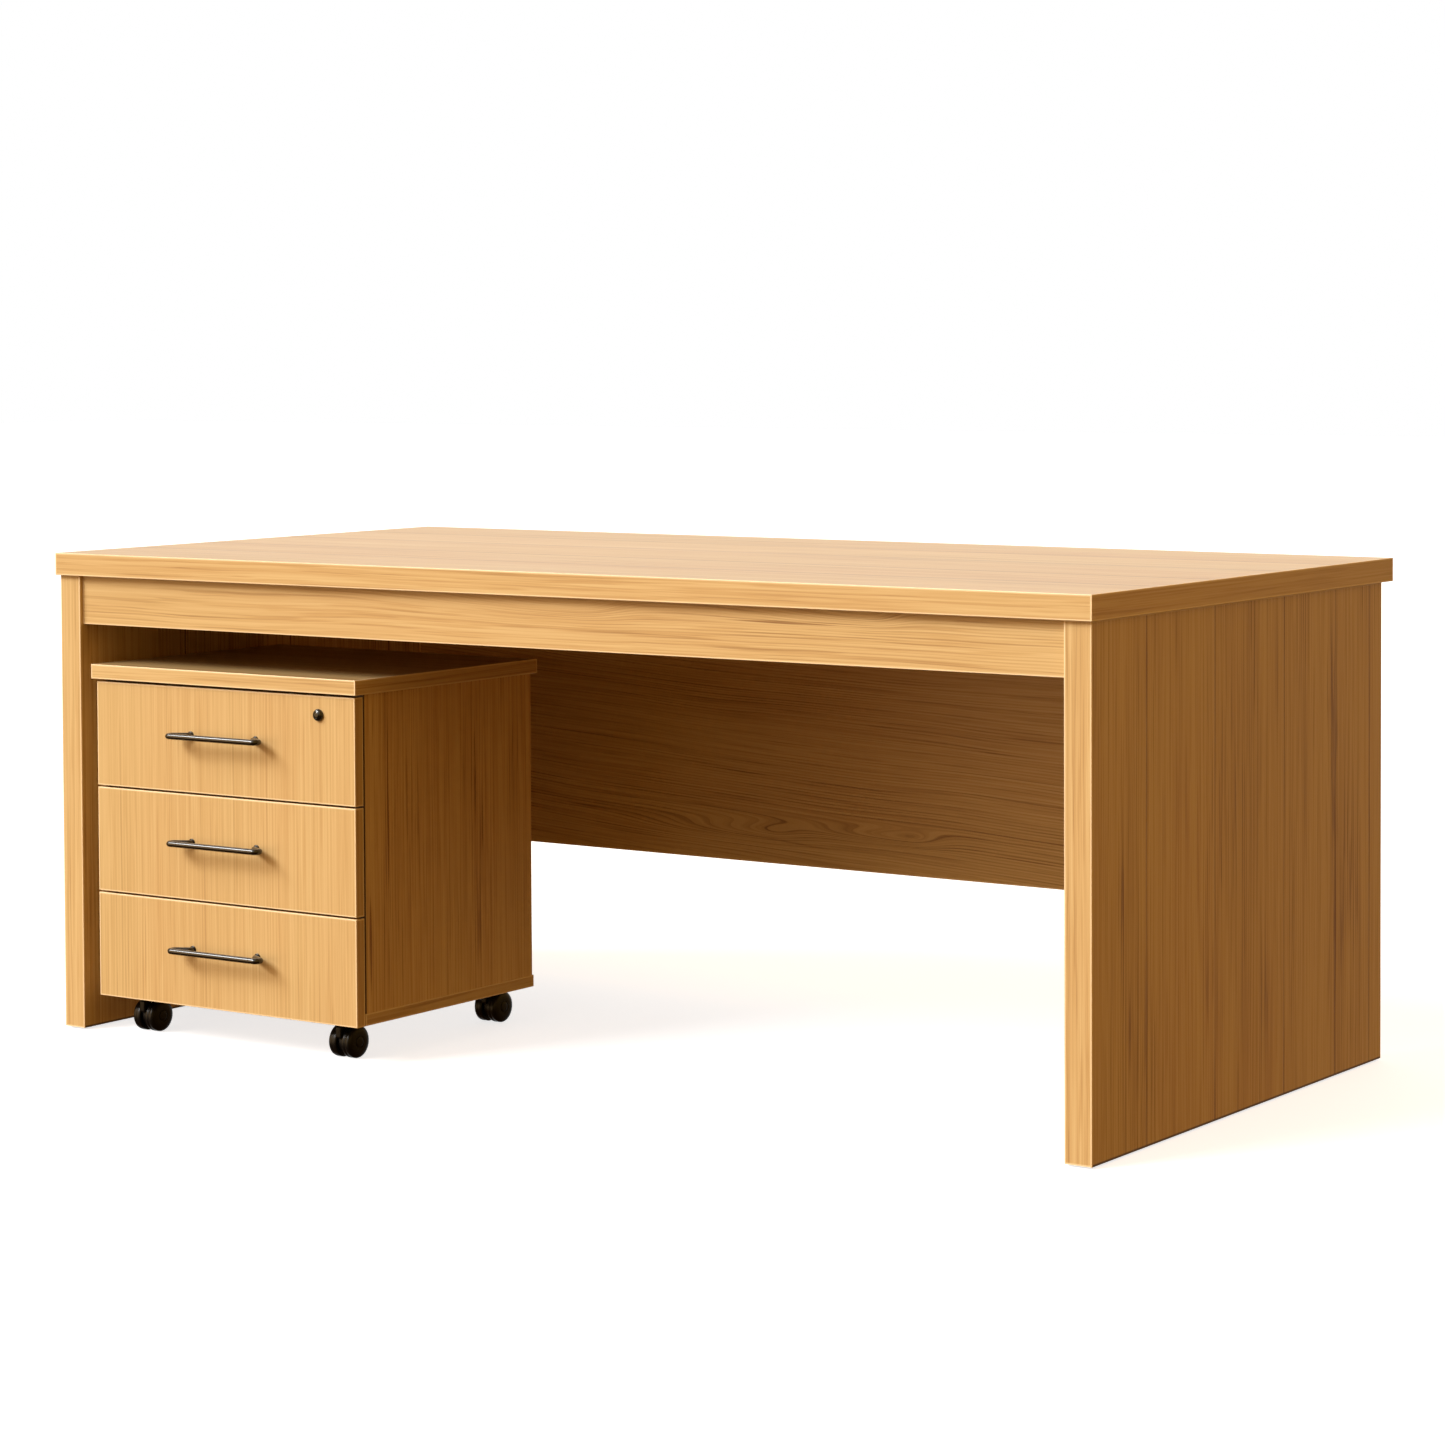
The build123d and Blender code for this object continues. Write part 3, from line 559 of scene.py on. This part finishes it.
def steps(profile, way, middle, startRadius):
    # extrudes a selected round face through (rise, radius) steps, each rise counted from the last
    axis = max(range(3), key=lambda spot: abs(way[spot]))
    radius = startRadius
    for rise, nextRadius in profile:
        push(way, rise)
        shrink(nextRadius / radius, middle, axis)
        radius = nextRadius


def finished(piece, angle=35):
    bpy.ops.object.mode_set(mode="EDIT")
    bpy.ops.mesh.select_all(action="SELECT")
    bpy.ops.mesh.remove_doubles(threshold=weld)
    bpy.ops.mesh.normals_make_consistent(inside=False)
    bpy.ops.object.mode_set(mode="OBJECT")
    bpy.ops.object.shade_smooth_by_angle(angle=math.radians(angle))
    return piece


def joined(name, pieces):
    deselect()
    for piece in pieces:
        piece.select_set(True)
    bpy.context.view_layer.objects.active = pieces[0]
    bpy.ops.object.join()
    whole = bpy.context.object
    whole.name = name
    return whole


def duplicated(piece):
    selectOnly(piece)
    bpy.ops.object.duplicate()
    return bpy.context.object


def copied(piece, name, move=(0, 0, 0)):
    twin = duplicated(piece)
    twin.name = name
    twin.location = move
    bpy.ops.object.transform_apply(location=True, rotation=False, scale=False)
    return twin


def mirrored(piece, name, middleX):
    # the same piece on the other side of the plane x = middleX
    twin = copied(piece, name)
    bpy.ops.object.mode_set(mode="EDIT")
    bpy.ops.mesh.select_all(action="SELECT")
    bpy.ops.transform.resize(value=(-1, 1, 1), center_override=(middleX, 0, 0))
    return finished(twin)


def carve(piece, cutters):
    # cuts tools out of a piece
    for cutter in cutters:
        cut = piece.modifiers.new("cut", "BOOLEAN")
        cut.object, cut.operation = cutter, "DIFFERENCE"
        selectOnly(piece)
        bpy.ops.object.modifier_apply(modifier="cut")
        bpy.data.objects.remove(cutter)
    return piece


def place(piece, body, slot, *replaced):
    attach(piece, body)
    if replaced:
        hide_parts(*replaced)
    paint(piece, finishes[slot])


def middleOf(box):
    return [(low + high) / 2 for low, high in zip(box[0], box[1])]


def solidsOf(name):
    # the lowest corner, highest corner and points of each solid in a node, such as a set of screws
    shell = bpy.data.objects.new("loose", nodes[name].data.copy())
    bpy.context.collection.objects.link(shell)
    selectOnly(shell)
    bpy.ops.object.mode_set(mode="EDIT")
    bpy.ops.mesh.select_all(action="SELECT")
    bpy.ops.mesh.remove_doubles(threshold=weld)
    bpy.ops.mesh.separate(type="LOOSE")
    bpy.ops.object.mode_set(mode="OBJECT")
    solids = []
    for loose in list(bpy.context.selected_objects):
        points = [point.co.copy() for point in loose.data.vertices]
        low = [min(point[axis] for point in points) for axis in range(3)]
        high = [max(point[axis] for point in points) for axis in range(3)]
        solids.append((low, high, points))
        bpy.data.objects.remove(loose)
    return sorted(solids, key=lambda solid: solid[0])


# Bar handles: one bent rod, modelled as its left half and mirrored
handle = {
    "barRadius": 0.0045, "sides": 24, "foot": 0.006, "bend": 0.005, "corner": 0.006,
    "footSpacing": 0.128, "cornerSpacing": 0.210, "bendSteps": 8, "cornerSteps": 18,
    "collarRadius": 0.0062, "collarHeight": 0.0012, "collarEdge": 0.0006, "clear": 0.00001,
    "near": 0.0001,
}


def makeHandle(name, box):
    x, _, z = middleOf(box)
    face = box[1][1]
    barY = box[0][1] + handle["barRadius"] + handle["clear"]
    foot = Vector((x - handle["footSpacing"] / 2, face, z))
    first = Vector((foot.x, face - handle["foot"], z))
    corner = Vector((x - handle["cornerSpacing"] / 2, barY, z))
    out, slope, along = Vector((0, -1, 0)), (corner - first).normalized(), Vector((1, 0, 0))
    bendTurn, cornerTurn = out.angle(slope), slope.angle(along)
    bendReach = handle["bend"] * math.tan(bendTurn / 2)
    cornerReach = handle["corner"] * math.tan(cornerTurn / 2)
    bendMiddle = first - out * bendReach + Vector((-1, 0, 0)) * handle["bend"]
    leaving = corner - slope * cornerReach
    cornerMiddle = leaving + Vector((-slope.y, slope.x, 0)) * handle["corner"]
    deselect()
    bpy.ops.mesh.primitive_circle_add(
        vertices=handle["sides"], radius=handle["barRadius"], location=foot, rotation=alongY
    )
    piece = started(name)
    pickEdges(piece, lambda *ends: True)
    push(out, handle["foot"] - bendReach)
    bpy.ops.mesh.spin(steps=handle["bendSteps"], angle=bendTurn, center=bendMiddle, axis=(0, 0, 1))
    push(slope, (corner - first).length - bendReach - cornerReach)
    bpy.ops.mesh.spin(steps=handle["cornerSteps"], angle=-cornerTurn, center=cornerMiddle, axis=(0, 0, 1))
    push(along, x - corner.x - cornerReach)
    pickEdges(piece, lambda *ends: all(abs(end.y - face) < handle["near"] for end in ends))
    bpy.ops.mesh.edge_face_add()
    bpy.ops.object.mode_set(mode="OBJECT")
    twin = mirrored(piece, "twin", x)
    rod = finished(joined(name, [piece, twin]), 60)
    collars = []
    for side in (-1, 1):
        deselect()
        spot = (x + side * handle["footSpacing"] / 2, face - handle["collarHeight"] / 2, z)
        bpy.ops.mesh.primitive_cylinder_add(
            vertices=32, radius=handle["collarRadius"], depth=handle["collarHeight"], location=spot,
            rotation=alongY,
        )
        collar = started("collar")
        pickFaces(collar, lambda centre, normal: normal.y < -0.9)
        bpy.ops.mesh.bevel(offset=handle["collarEdge"], segments=3)
        bpy.ops.object.mode_set(mode="OBJECT")
        collars.append(finished(collar))
    return joined(name, [rod, *collars])


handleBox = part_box("drawer_bottom_handle")
firstHandle = makeHandle("bar_handle_bottom", handleBox)
for drawer in drawerNames:
    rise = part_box(f"drawer_{drawer}_handle")[0][2] - handleBox[0][2]
    bar = firstHandle if drawer == "bottom" else copied(firstHandle, f"bar_handle_{drawer}", (0, 0, rise))
    place(bar, f"drawer_{drawer}", "handle_black", f"drawer_{drawer}_handle")
print("handles made")

# Twin-wheel casters: a domed wheel with a hub cap outside and a hollow back inside
wheel = {
    "sides": 72, "tread": 0.0100, "play": 0.0055, "backShoulder": 0.0010, "clear": 0.0002,
    "mouldLine": 0.0012, "grooveEdge": 0.0004, "grooveDepth": 0.0003,
    "outside": ((0.0012, 0.0236), (0.0011, 0.0228), (0.0009, 0.0214), (0.0007, 0.0190), (0.0005, 0.0158),
                (0.0002, 0.0118), (0.0, 0.0092), (-0.0006, 0.0089), (0.0, 0.0081), (0.0007, 0.0078),
                (0.0002, 0.0068), (0.0001, 0.0040)),
    "inside": ((0.0007, 0.0236), (0.0005, 0.0229), (0.0, 0.0205), (-0.0050, 0.0200), (0.0, 0.0072),
               (0.0050, 0.0068), (0.0, 0.0050)),
}


def makeWheel(stemX, axle):
    hub = Vector((stemX + wheel["play"] + wheel["backShoulder"] + wheel["clear"], *axle))
    middle = hub + Vector((wheel["tread"] / 2, 0, 0))
    deselect()
    bpy.ops.mesh.primitive_cylinder_add(
        vertices=wheel["sides"], radius=axle[1], depth=wheel["tread"], location=middle, rotation=alongX
    )
    piece = started("wheel")
    pickFaces(piece, lambda centre, normal: normal.x > 0.9)
    steps(wheel["outside"], (1, 0, 0), middle, axle[1])
    pickFaces(piece, lambda centre, normal: normal.x < -0.9)
    steps(wheel["inside"], (-1, 0, 0), middle, axle[1])
    for side in (-1, 1):      # a fine groove round the middle of the tread
        bpy.ops.mesh.select_all(action="SELECT")
        bpy.ops.mesh.bisect(plane_co=(middle.x + side * wheel["mouldLine"], 0, 0), plane_no=(1, 0, 0))
    near = wheel["mouldLine"] * 0.9
    pickFaces(piece, lambda centre, normal: abs(centre.x - middle.x) < near and abs(normal.x) < 0.1)
    bpy.ops.mesh.inset(thickness=wheel["grooveEdge"], depth=-wheel["grooveDepth"])
    bpy.ops.object.mode_set(mode="OBJECT")
    return finished(piece, 50)


casterNames = ("front_left", "rear_left", "front_right", "rear_right")
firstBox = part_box("caster_front_left_wheels")
firstAxle = middleOf(firstBox)
rightWheel = makeWheel(firstAxle[0], firstAxle[1:])
leftWheel = mirrored(rightWheel, "wheel_twin", firstAxle[0])
wheelPair = joined("wheel_pair_front_left", [rightWheel, leftWheel])
for corner in casterNames:
    axle = middleOf(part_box(f"caster_{corner}_wheels"))
    move = [there - here for there, here in zip(axle, firstAxle)]
    pair = wheelPair if corner == "front_left" else copied(wheelPair, f"wheel_pair_{corner}", move)
    place(pair, f"caster_{corner}_wheels", "caster_wheel", f"caster_{corner}_wheels")
print("wheels made")

# Caster body: a web between the wheels, a rounded neck and a turned collar under the plate
fork = {
    "webRadius": 0.0185, "webHalf": 0.0046, "neckHalf": 0.0135, "neckPlay": 0.0004, "neckBack": 0.003,
    "neckLow": 0.006, "neckDrop": 0.0042, "neckRound": 0.004, "neckEdge": 0.0008,
    "collarRadius": 0.0085, "collarHeight": 0.002, "collarSink": 0.0008,
    "face": ((0.0, 0.0165), (-0.0012, 0.0160), (0.0, 0.0070), (0.0010, 0.0066)),
    "collar": (
        (0.0, 0.0105), (0.0006, 0.0112), (0.0012, 0.0117), (0.0011, 0.0117), (0.0006, 0.0110), (0.0, 0.0070),
    ),
}


def makeFork(name, top, axle, stemY):
    x = axle[0]
    webWidth = fork["webHalf"] * 2
    deselect()
    bpy.ops.mesh.primitive_cylinder_add(
        vertices=56, radius=fork["webRadius"], depth=webWidth, location=axle, rotation=alongX
    )
    web = started("web")
    for side in (-1, 1):      # a raised boss in a sunk face, on both sides
        pickFaces(web, lambda centre, normal: normal.x * side > 0.9)
        steps(fork["face"], (side, 0, 0), axle, fork["webRadius"])
    finished(web)
    deselect()
    low = axle[2] + fork["neckLow"]
    high = top - fork["neckDrop"]
    bpy.ops.mesh.primitive_cube_add(size=1, location=(x, stemY + fork["neckBack"], (low + high) / 2))
    bpy.context.object.scale = (webWidth - fork["neckPlay"], fork["neckHalf"] * 2, high - low)
    neck = started("neck")
    pickEdges(neck, lambda a, b: abs(a.x - b.x) > 0.001)
    bpy.ops.mesh.bevel(offset=fork["neckRound"], segments=6)
    pickFaces(neck, lambda centre, normal: abs(normal.x) > 0.9)
    bpy.ops.mesh.bevel(offset=fork["neckEdge"], segments=3)
    finished(neck)
    deselect()
    spot = (x, stemY, high - fork["collarSink"])
    bpy.ops.mesh.primitive_cylinder_add(
        vertices=48, radius=fork["collarRadius"], depth=fork["collarHeight"], location=spot
    )
    collar = started("collar")
    pickFaces(collar, lambda centre, normal: normal.z > 0.9)
    steps(fork["collar"], (0, 0, 1), (x, stemY, high), fork["collarRadius"])
    finished(collar, 50)
    return joined(name, [web, neck, collar])


plates = solidsOf("caster_plates")
for corner in casterNames:
    axle = middleOf(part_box(f"caster_{corner}_wheels"))
    plate = min(plates, key=lambda box: (Vector(middleOf(box)) - Vector(axle)).length)
    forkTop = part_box(f"caster_{corner}_fork")[1][2]
    body = makeFork(f"caster_body_{corner}", forkTop, axle, middleOf(plate)[1])
    place(body, f"caster_{corner}_swivel", "caster_plastic", f"caster_{corner}_fork")
print("caster bodies made")

# Drawer lock: a domed rose round a turning plug with a key slot
lock = {
    "rose": ((0.0012, 0.0090), (0.0010, 0.0088), (0.0010, 0.0084), (0.0009, 0.0077), (0.0008, 0.0068),
             (0.0005, 0.0058), (0.0002, 0.0050), (-0.0003, 0.0047), (-0.0010, 0.0046)),
    "plug": ((0.0005, 0.0045), (0.0003, 0.0040), (0.0002, 0.0032), (0.0001, 0.0022), (0.0, 0.0012)),
    "rimRadius": 0.0087, "barrelRadius": 0.0070, "plugRadius": 0.0045,
    "rimHeight": 0.0003, "rimSink": 0.0002, "barrelEdge": 0.0005, "domeRise": 0.0012,
    "slotWidth": 0.0010, "slotDepth": 0.008, "slotHeight": 0.0040,
}


def makeLock():
    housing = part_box("lock_housing")
    x, _, z = middleOf(housing)
    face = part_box("drawer_top_front")[0][1]
    deselect()
    spot = (x, face - lock["rimSink"], z)
    bpy.ops.mesh.primitive_cylinder_add(
        vertices=48, radius=lock["rimRadius"], depth=lock["rimHeight"], location=spot, rotation=alongY
    )
    rose = started("rose")
    pickFaces(rose, lambda centre, normal: normal.y < -0.9)
    steps(lock["rose"], (0, -1, 0), (x, face, z), lock["rimRadius"])
    finished(rose, 50)
    deselect()
    length = housing[1][1] - face
    spot = (x, face + length / 2, z)
    bpy.ops.mesh.primitive_cylinder_add(
        vertices=40, radius=lock["barrelRadius"], depth=length, location=spot, rotation=alongY
    )
    barrel = started("barrel")
    pickFaces(barrel, lambda centre, normal: abs(normal.y) > 0.9)
    bpy.ops.mesh.bevel(offset=lock["barrelEdge"], segments=2)
    finished(barrel)
    place(joined("lock_rose", [rose, barrel]), "drawer_top", "lock_black", "lock_housing")

    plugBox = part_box("lock_plug")
    front = plugBox[0][1] + lock["domeRise"]
    depth = plugBox[1][1] - front
    deselect()
    spot = (x, front + depth / 2, z)
    bpy.ops.mesh.primitive_cylinder_add(
        vertices=40, radius=lock["plugRadius"], depth=depth, location=spot, rotation=alongY
    )
    plug = started("lock_keyway")
    pickFaces(plug, lambda centre, normal: normal.y < -0.9)
    steps(lock["plug"], (0, -1, 0), (x, front, z), lock["plugRadius"])
    finished(plug, 50)
    deselect()
    bpy.ops.mesh.primitive_cube_add(size=1, location=(x, front, z))
    bpy.context.object.scale = (lock["slotWidth"], lock["slotDepth"], lock["slotHeight"])
    carve(plug, [started("slot")])
    place(finished(plug, 40), "lock", "lock_black", "lock_plug")


makeLock()
print("lock made")

# Screws: a domed pan head with a cross recess on a plain shank, modelled once for each length
screw = {
    "sides": 20, "rim": 0.0001, "rimRadius": 0.0034,
    "head": ((0.0004, 0.0035), (0.0004, 0.0033), (0.0004, 0.0027), (0.0002, 0.0017)), "headHeight": 0.0015,
    "shankRadius": 0.0017, "tip": 0.002, "tipShare": 0.3, "spin": 0.37, "near": 0.0003,
    "crossWidth": 0.0009, "crossLength": 0.0042, "crossDepth": 0.0009,
}


def crossTools(length, width, depth, height):
    # two bars that cut a cross into a face at a height above the origin
    tools = []
    for scale in ((length, width, depth * 2), (width, length, depth * 2)):
        deselect()
        bpy.ops.mesh.primitive_cube_add(size=1, location=(0, 0, height))
        bpy.context.object.scale = scale
        tools.append(started("cross_tool"))
    return tools


def makeScrew(length, radius):
    # head up, with the underside of its head at the origin
    deselect()
    spot = (0, 0, screw["rim"] / 2)
    bpy.ops.mesh.primitive_cylinder_add(
        vertices=screw["sides"], radius=screw["rimRadius"], depth=screw["rim"], location=spot
    )
    piece = started("screw")
    pickFaces(piece, lambda centre, normal: normal.z > 0.9)
    steps(screw["head"], (0, 0, 1), (0, 0, 0), screw["rimRadius"])
    pickFaces(piece, lambda centre, normal: normal.z < -0.9)
    shank = ((0.0, radius), (length - screw["tip"], radius), (screw["tip"], radius * screw["tipShare"]))
    steps(shank, (0, 0, -1), (0, 0, 0), screw["rimRadius"])
    finished(piece)
    top = screw["rim"] + sum(rise for rise, _ in screw["head"])
    return carve(piece, crossTools(screw["crossLength"], screw["crossWidth"], screw["crossDepth"], top))


def turnedCopy(piece, spot, way, spin=0.0):
    # a copy whose +Z points along a direction, at a place
    twin = duplicated(piece)
    turn = Vector(way).to_track_quat("Z", "Y") @ Euler((0, 0, spin)).to_quaternion()
    twin.rotation_euler = turn.to_euler()
    twin.location = spot
    bpy.ops.object.transform_apply(location=True, rotation=True, scale=True)
    return twin


def headOf(solid):
    # where a screw's head sits and which way it looks
    low, high, points = solid
    axis = max(range(3), key=lambda spot: high[spot] - low[spot])
    side = (axis + 1) % 3
    width = {}
    for end in (low[axis], high[axis]):
        near = [point[side] for point in points if abs(point[axis] - end) < screw["near"]]
        width[end] = max(near) - min(near)
    end = max(width, key=lambda spot: width[spot])
    way = [0.0, 0.0, 0.0]
    way[axis] = 1.0 if end == high[axis] else -1.0
    spot = middleOf(solid)
    spot[axis] = end - way[axis] * screw["headHeight"]
    return spot, way, high[axis] - low[axis] - screw["headHeight"]


screwSets = {"caster_screws": "pedestal", "cabinet_runner_screws": "pedestal"}
for drawer in drawerNames:
    screwSets[f"drawer_{drawer}_screws"] = f"drawer_{drawer}"
screwKinds = {}
for name, body in screwSets.items():
    heads = []
    for index, solid in enumerate(solidsOf(name)):
        spot, way, length = headOf(solid)
        size = round(length, 4)
        if size not in screwKinds:
            screwKinds[size] = makeScrew(length, screw["shankRadius"])
        heads.append(turnedCopy(screwKinds[size], spot, way, screw["spin"] * index))
    place(joined("pan_head_" + name, heads), body, "zinc_steel", name)
for kind in screwKinds.values():
    bpy.data.objects.remove(kind)
print("screws made")

# Cam fittings: a die-cast disc with a sunk face and a cross slot at either end
cam = {
    "radius": 0.0075, "rim": 0.0066, "sunk": 0.0005, "draft": 0.0003, "turn": 0.6, "turnStep": 0.5,
    "slotLength": 0.0092, "slotWidth": 0.0016, "slotDepth": 0.0016,
}


def makeCam(depth):
    deselect()
    bpy.ops.mesh.primitive_cylinder_add(vertices=40, radius=cam["radius"], depth=depth)
    piece = started("cam")
    for way in (1, -1):
        pickFaces(piece, lambda centre, normal: normal.z * way > 0.9)
        sunkFace = ((0.0, cam["rim"]), (-cam["sunk"], cam["rim"] - cam["draft"]))
        steps(sunkFace, (0, 0, way), (0, 0, 0), cam["radius"])
    finished(piece)
    for way in (1, -1):
        face = way * (depth / 2 - cam["sunk"])
        carve(piece, crossTools(cam["slotLength"], cam["slotWidth"], cam["slotDepth"], face))
    return piece


for name, body in (("desk_cams", "desk"), ("pedestal_cams", "pedestal")):
    discs = []
    for index, solid in enumerate(solidsOf(name)):
        spans = [high - low for low, high in zip(solid[0], solid[1])]
        odd = max(range(3), key=lambda axis: abs(spans[axis] - 2 * cam["radius"]))
        way = [1.0 if axis == odd else 0.0 for axis in range(3)]
        if not discs:
            firstCam = makeCam(spans[odd])
        spin = cam["turn"] + cam["turnStep"] * (index % 3)
        discs.append(turnedCopy(firstCam, middleOf(solid), way, spin))
    bpy.data.objects.remove(firstCam)
    place(joined("cast_" + name, discs), body, "zinc_steel", name)
print("cams made")

# Drawer runners: rolled channels with inturned lips and pressed holes along the web
runner = {
    "sheet": 0.0012, "lip": 0.003, "round": 0.0005, "near": 0.0002,
    "holeRadius": 0.0023, "holeDepth": 0.004, "holes": (0.08, 0.19, 0.34, 0.66, 0.81, 0.92),
}


def makeRunner(solid, webSide):
    low, high, _ = solid
    sheet, lip = runner["sheet"], runner["lip"]
    web = high[0] if webSide > 0 else low[0]
    inner = web - webSide * sheet
    mouth = low[0] if webSide > 0 else high[0]
    deselect()
    bpy.ops.mesh.primitive_plane_add(
        size=1, location=((web + inner) / 2, low[1], (low[2] + high[2]) / 2), rotation=alongY
    )
    bpy.context.object.scale = (sheet, high[2] - low[2], 1)
    piece = started("runner")
    for level in (low[2] + sheet, high[2] - sheet):
        pickFaces(piece, lambda centre, normal: True)
        bpy.ops.mesh.bisect(plane_co=(0, 0, level), plane_no=(0, 0, 1))
    for level, way in ((high[2], -1), (low[2], 1)):
        pickEdges(piece, lambda a, b: abs(a.x - inner) + abs(b.x - inner) < runner["near"]
                  and abs((a.z + b.z) / 2 - level) < sheet)
        push((-webSide, 0, 0), abs(mouth - inner) - sheet)
        push((-webSide, 0, 0), sheet)
        lipFrom = mouth + webSide * sheet * 0.5
        under = level + way * sheet
        pickEdges(piece, lambda a, b: abs(a.z - under) + abs(b.z - under) < runner["near"]
                  and abs((a.x + b.x) / 2 - lipFrom) < sheet * 0.3)
        push((0, 0, way), lip - sheet)
    pickFaces(piece, lambda centre, normal: True)
    push((0, 1, 0), high[1] - low[1])
    finished(piece, 40)
    bevel = piece.modifiers.new("rolled", "BEVEL")
    bevel.width, bevel.segments, bevel.limit_method = runner["round"], 2, "ANGLE"
    selectOnly(piece)
    bpy.ops.object.modifier_apply(modifier="rolled")
    holes = []
    for part in runner["holes"]:
        deselect()
        spot = (web, low[1] + (high[1] - low[1]) * part, (low[2] + high[2]) / 2)
        bpy.ops.mesh.primitive_cylinder_add(
            vertices=20, radius=runner["holeRadius"], depth=runner["holeDepth"], location=spot,
            rotation=alongX,
        )
        holes.append(started("hole_tool"))
    return finished(carve(piece, holes), 40)


middleX = middleOf(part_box("pedestal_bottom"))[0]
runnerSets = {"cabinet_runners": ("pedestal", 1)}
for drawer in drawerNames:
    runnerSets[f"drawer_{drawer}_runners"] = (f"drawer_{drawer}", -1)
for name, (body, outward) in runnerSets.items():
    channels = []
    for solid in solidsOf(name):
        side = 1 if middleOf(solid)[0] > middleX else -1
        channels.append(makeRunner(solid, side * outward))
    place(joined("rolled_" + name, channels), body, "runner_steel", name)
print("runners made")


# Studio: a pale floor, two soft suns from the front left, a warm surround with three lit walls
studio = {
    "floorSize": 60.0, "floorTone": (0.62, 0.62, 0.63), "floorLift": 0.76,
    "floorCloud": 1.5, "cloudTone": 0.985,
    "keys": ((-32.0, 36.0, 24.0, 2.35), (-55.0, 38.0, 17.0, 1.15)),      # turn, rise, spread, power
    "surround": (0.65, 0.355, 0.070), "below": (0.10, 0.036, 0.005), "horizon": (-0.20, 0.08),
    "walls": (     # which way each lit wall lies, where its glow starts and is full, its colour
        ((-0.57, 0.82, 0.05), 0.45, 0.90, (0.88, 0.96, 1.00)),
        ((-0.36, -0.72, 0.60), 0.66, 1.00, (1.38, 1.28, 1.12)),
        ((-0.66, -0.73, 0.15), 0.84, 1.00, (2.10, 1.34, 0.64)),
    ),
}


def makeFloor():
    bpy.ops.object.select_all(action="DESELECT")
    bpy.ops.mesh.primitive_plane_add(size=studio["floorSize"], location=(0, 0, 0))
    floor = bpy.context.object
    floor.name = "studio_floor"
    floor.visible_diffuse = floor.visible_glossy = False      # its bounce would wash out the shaded sides
    tone = studio["floorTone"]
    pale = Finish("floor_pale", Emission_Color=(1, 1, 1, 1), Emission_Strength=studio["floorLift"])
    x, y, z = pale.places()
    cloud = pale.noise(pale.vector(x, y, z), studio["floorCloud"])
    duller = tuple(part * studio["cloudTone"] for part in tone)
    paint(floor, pale.use(Base_Color=pale.mix(cloud, tone, duller), Roughness=0.8))


def makeKeys():
    for turn, rise, spread, power in studio["keys"]:
        lamp = bpy.data.lights.new("key", "SUN")
        lamp.energy, lamp.angle = power, math.radians(spread)
        key = bpy.data.objects.new("key", lamp)
        turn, rise = math.radians(turn), math.radians(rise)
        way = Vector((math.sin(turn) * math.cos(rise), -math.cos(turn) * math.cos(rise), math.sin(rise)))
        key.rotation_euler = way.to_track_quat("Z", "Y").to_euler()
        key.location = way * 5      # a sun lights the same from anywhere
        bpy.context.collection.objects.link(key)


def makeSurround():
    world = bpy.data.worlds.new("studio")
    bpy.context.scene.world = world
    world.use_nodes = True
    tree = world.node_tree
    make, link = tree.nodes.new, tree.links.new
    spot = make("ShaderNodeTexCoord")
    split = make("ShaderNodeSeparateXYZ")
    link(spot.outputs["Generated"], split.inputs[0])
    rise = make("ShaderNodeMapRange")
    rise.inputs["From Min"].default_value, rise.inputs["From Max"].default_value = studio["horizon"]
    link(split.outputs["Z"], rise.inputs["Value"])
    level = make("ShaderNodeMix")      # its inputs 6 and 7 are the two colours, its output 2 their mix
    level.data_type = "RGBA"
    level.inputs[6].default_value = (*studio["below"], 1)
    level.inputs[7].default_value = (*studio["surround"], 1)
    link(rise.outputs[0], level.inputs[0])
    glow = level.outputs[2]
    for way, start, full, colour in studio["walls"]:
        facing = make("ShaderNodeVectorMath")
        facing.operation = "DOT_PRODUCT"
        facing.inputs[1].default_value = Vector(way).normalized()
        link(spot.outputs["Generated"], facing.inputs[0])
        reach = make("ShaderNodeMapRange")
        reach.interpolation_type = "SMOOTHSTEP"
        reach.inputs["From Min"].default_value, reach.inputs["From Max"].default_value = start, full
        link(facing.outputs["Value"], reach.inputs["Value"])
        light = make("ShaderNodeMix")
        light.data_type = "RGBA"
        light.inputs[7].default_value = (*colour, 1)
        link(reach.outputs[0], light.inputs[0])
        link(glow, light.inputs[6])
        glow = light.outputs[2]
    sky = tree.nodes["Background"]
    link(glow, sky.inputs["Color"])
    white = make("ShaderNodeBackground")
    white.inputs["Color"].default_value = (1, 1, 1, 1)
    blend = make("ShaderNodeMixShader")
    link(make("ShaderNodeLightPath").outputs["Is Camera Ray"], blend.inputs[0])
    link(sky.outputs[0], blend.inputs[1])
    link(white.outputs[0], blend.inputs[2])
    link(blend.outputs[0], tree.nodes["World Output"].inputs[0])


makeFloor()
makeKeys()
makeSurround()
bpy.context.scene.view_settings.view_transform = "Standard"

# Camera: low, from the sitter's right, with a long lens
cameraSettings = {
    "place": (3.190, -4.579, 1.059), "turn": 34.57, "down": 2.22, "roll": -0.26,
    "lens": 93.6, "shiftY": -0.168,
}


def makeCamera():
    data = bpy.data.cameras.new("camera")
    data.sensor_width = 36
    data.lens = cameraSettings["lens"]
    data.shift_y = cameraSettings["shiftY"]
    camera = bpy.data.objects.new("camera", data)
    camera.location = cameraSettings["place"]
    turn = math.radians(cameraSettings["turn"])
    down = math.radians(90 - cameraSettings["down"])
    heading = Euler((down, 0, turn)).to_matrix()
    roll = Euler((0, 0, math.radians(cameraSettings["roll"]))).to_matrix()
    camera.rotation_euler = (heading @ roll).to_euler()
    bpy.context.collection.objects.link(camera)
    bpy.context.scene.camera = camera


makeCamera()
print("studio ready")
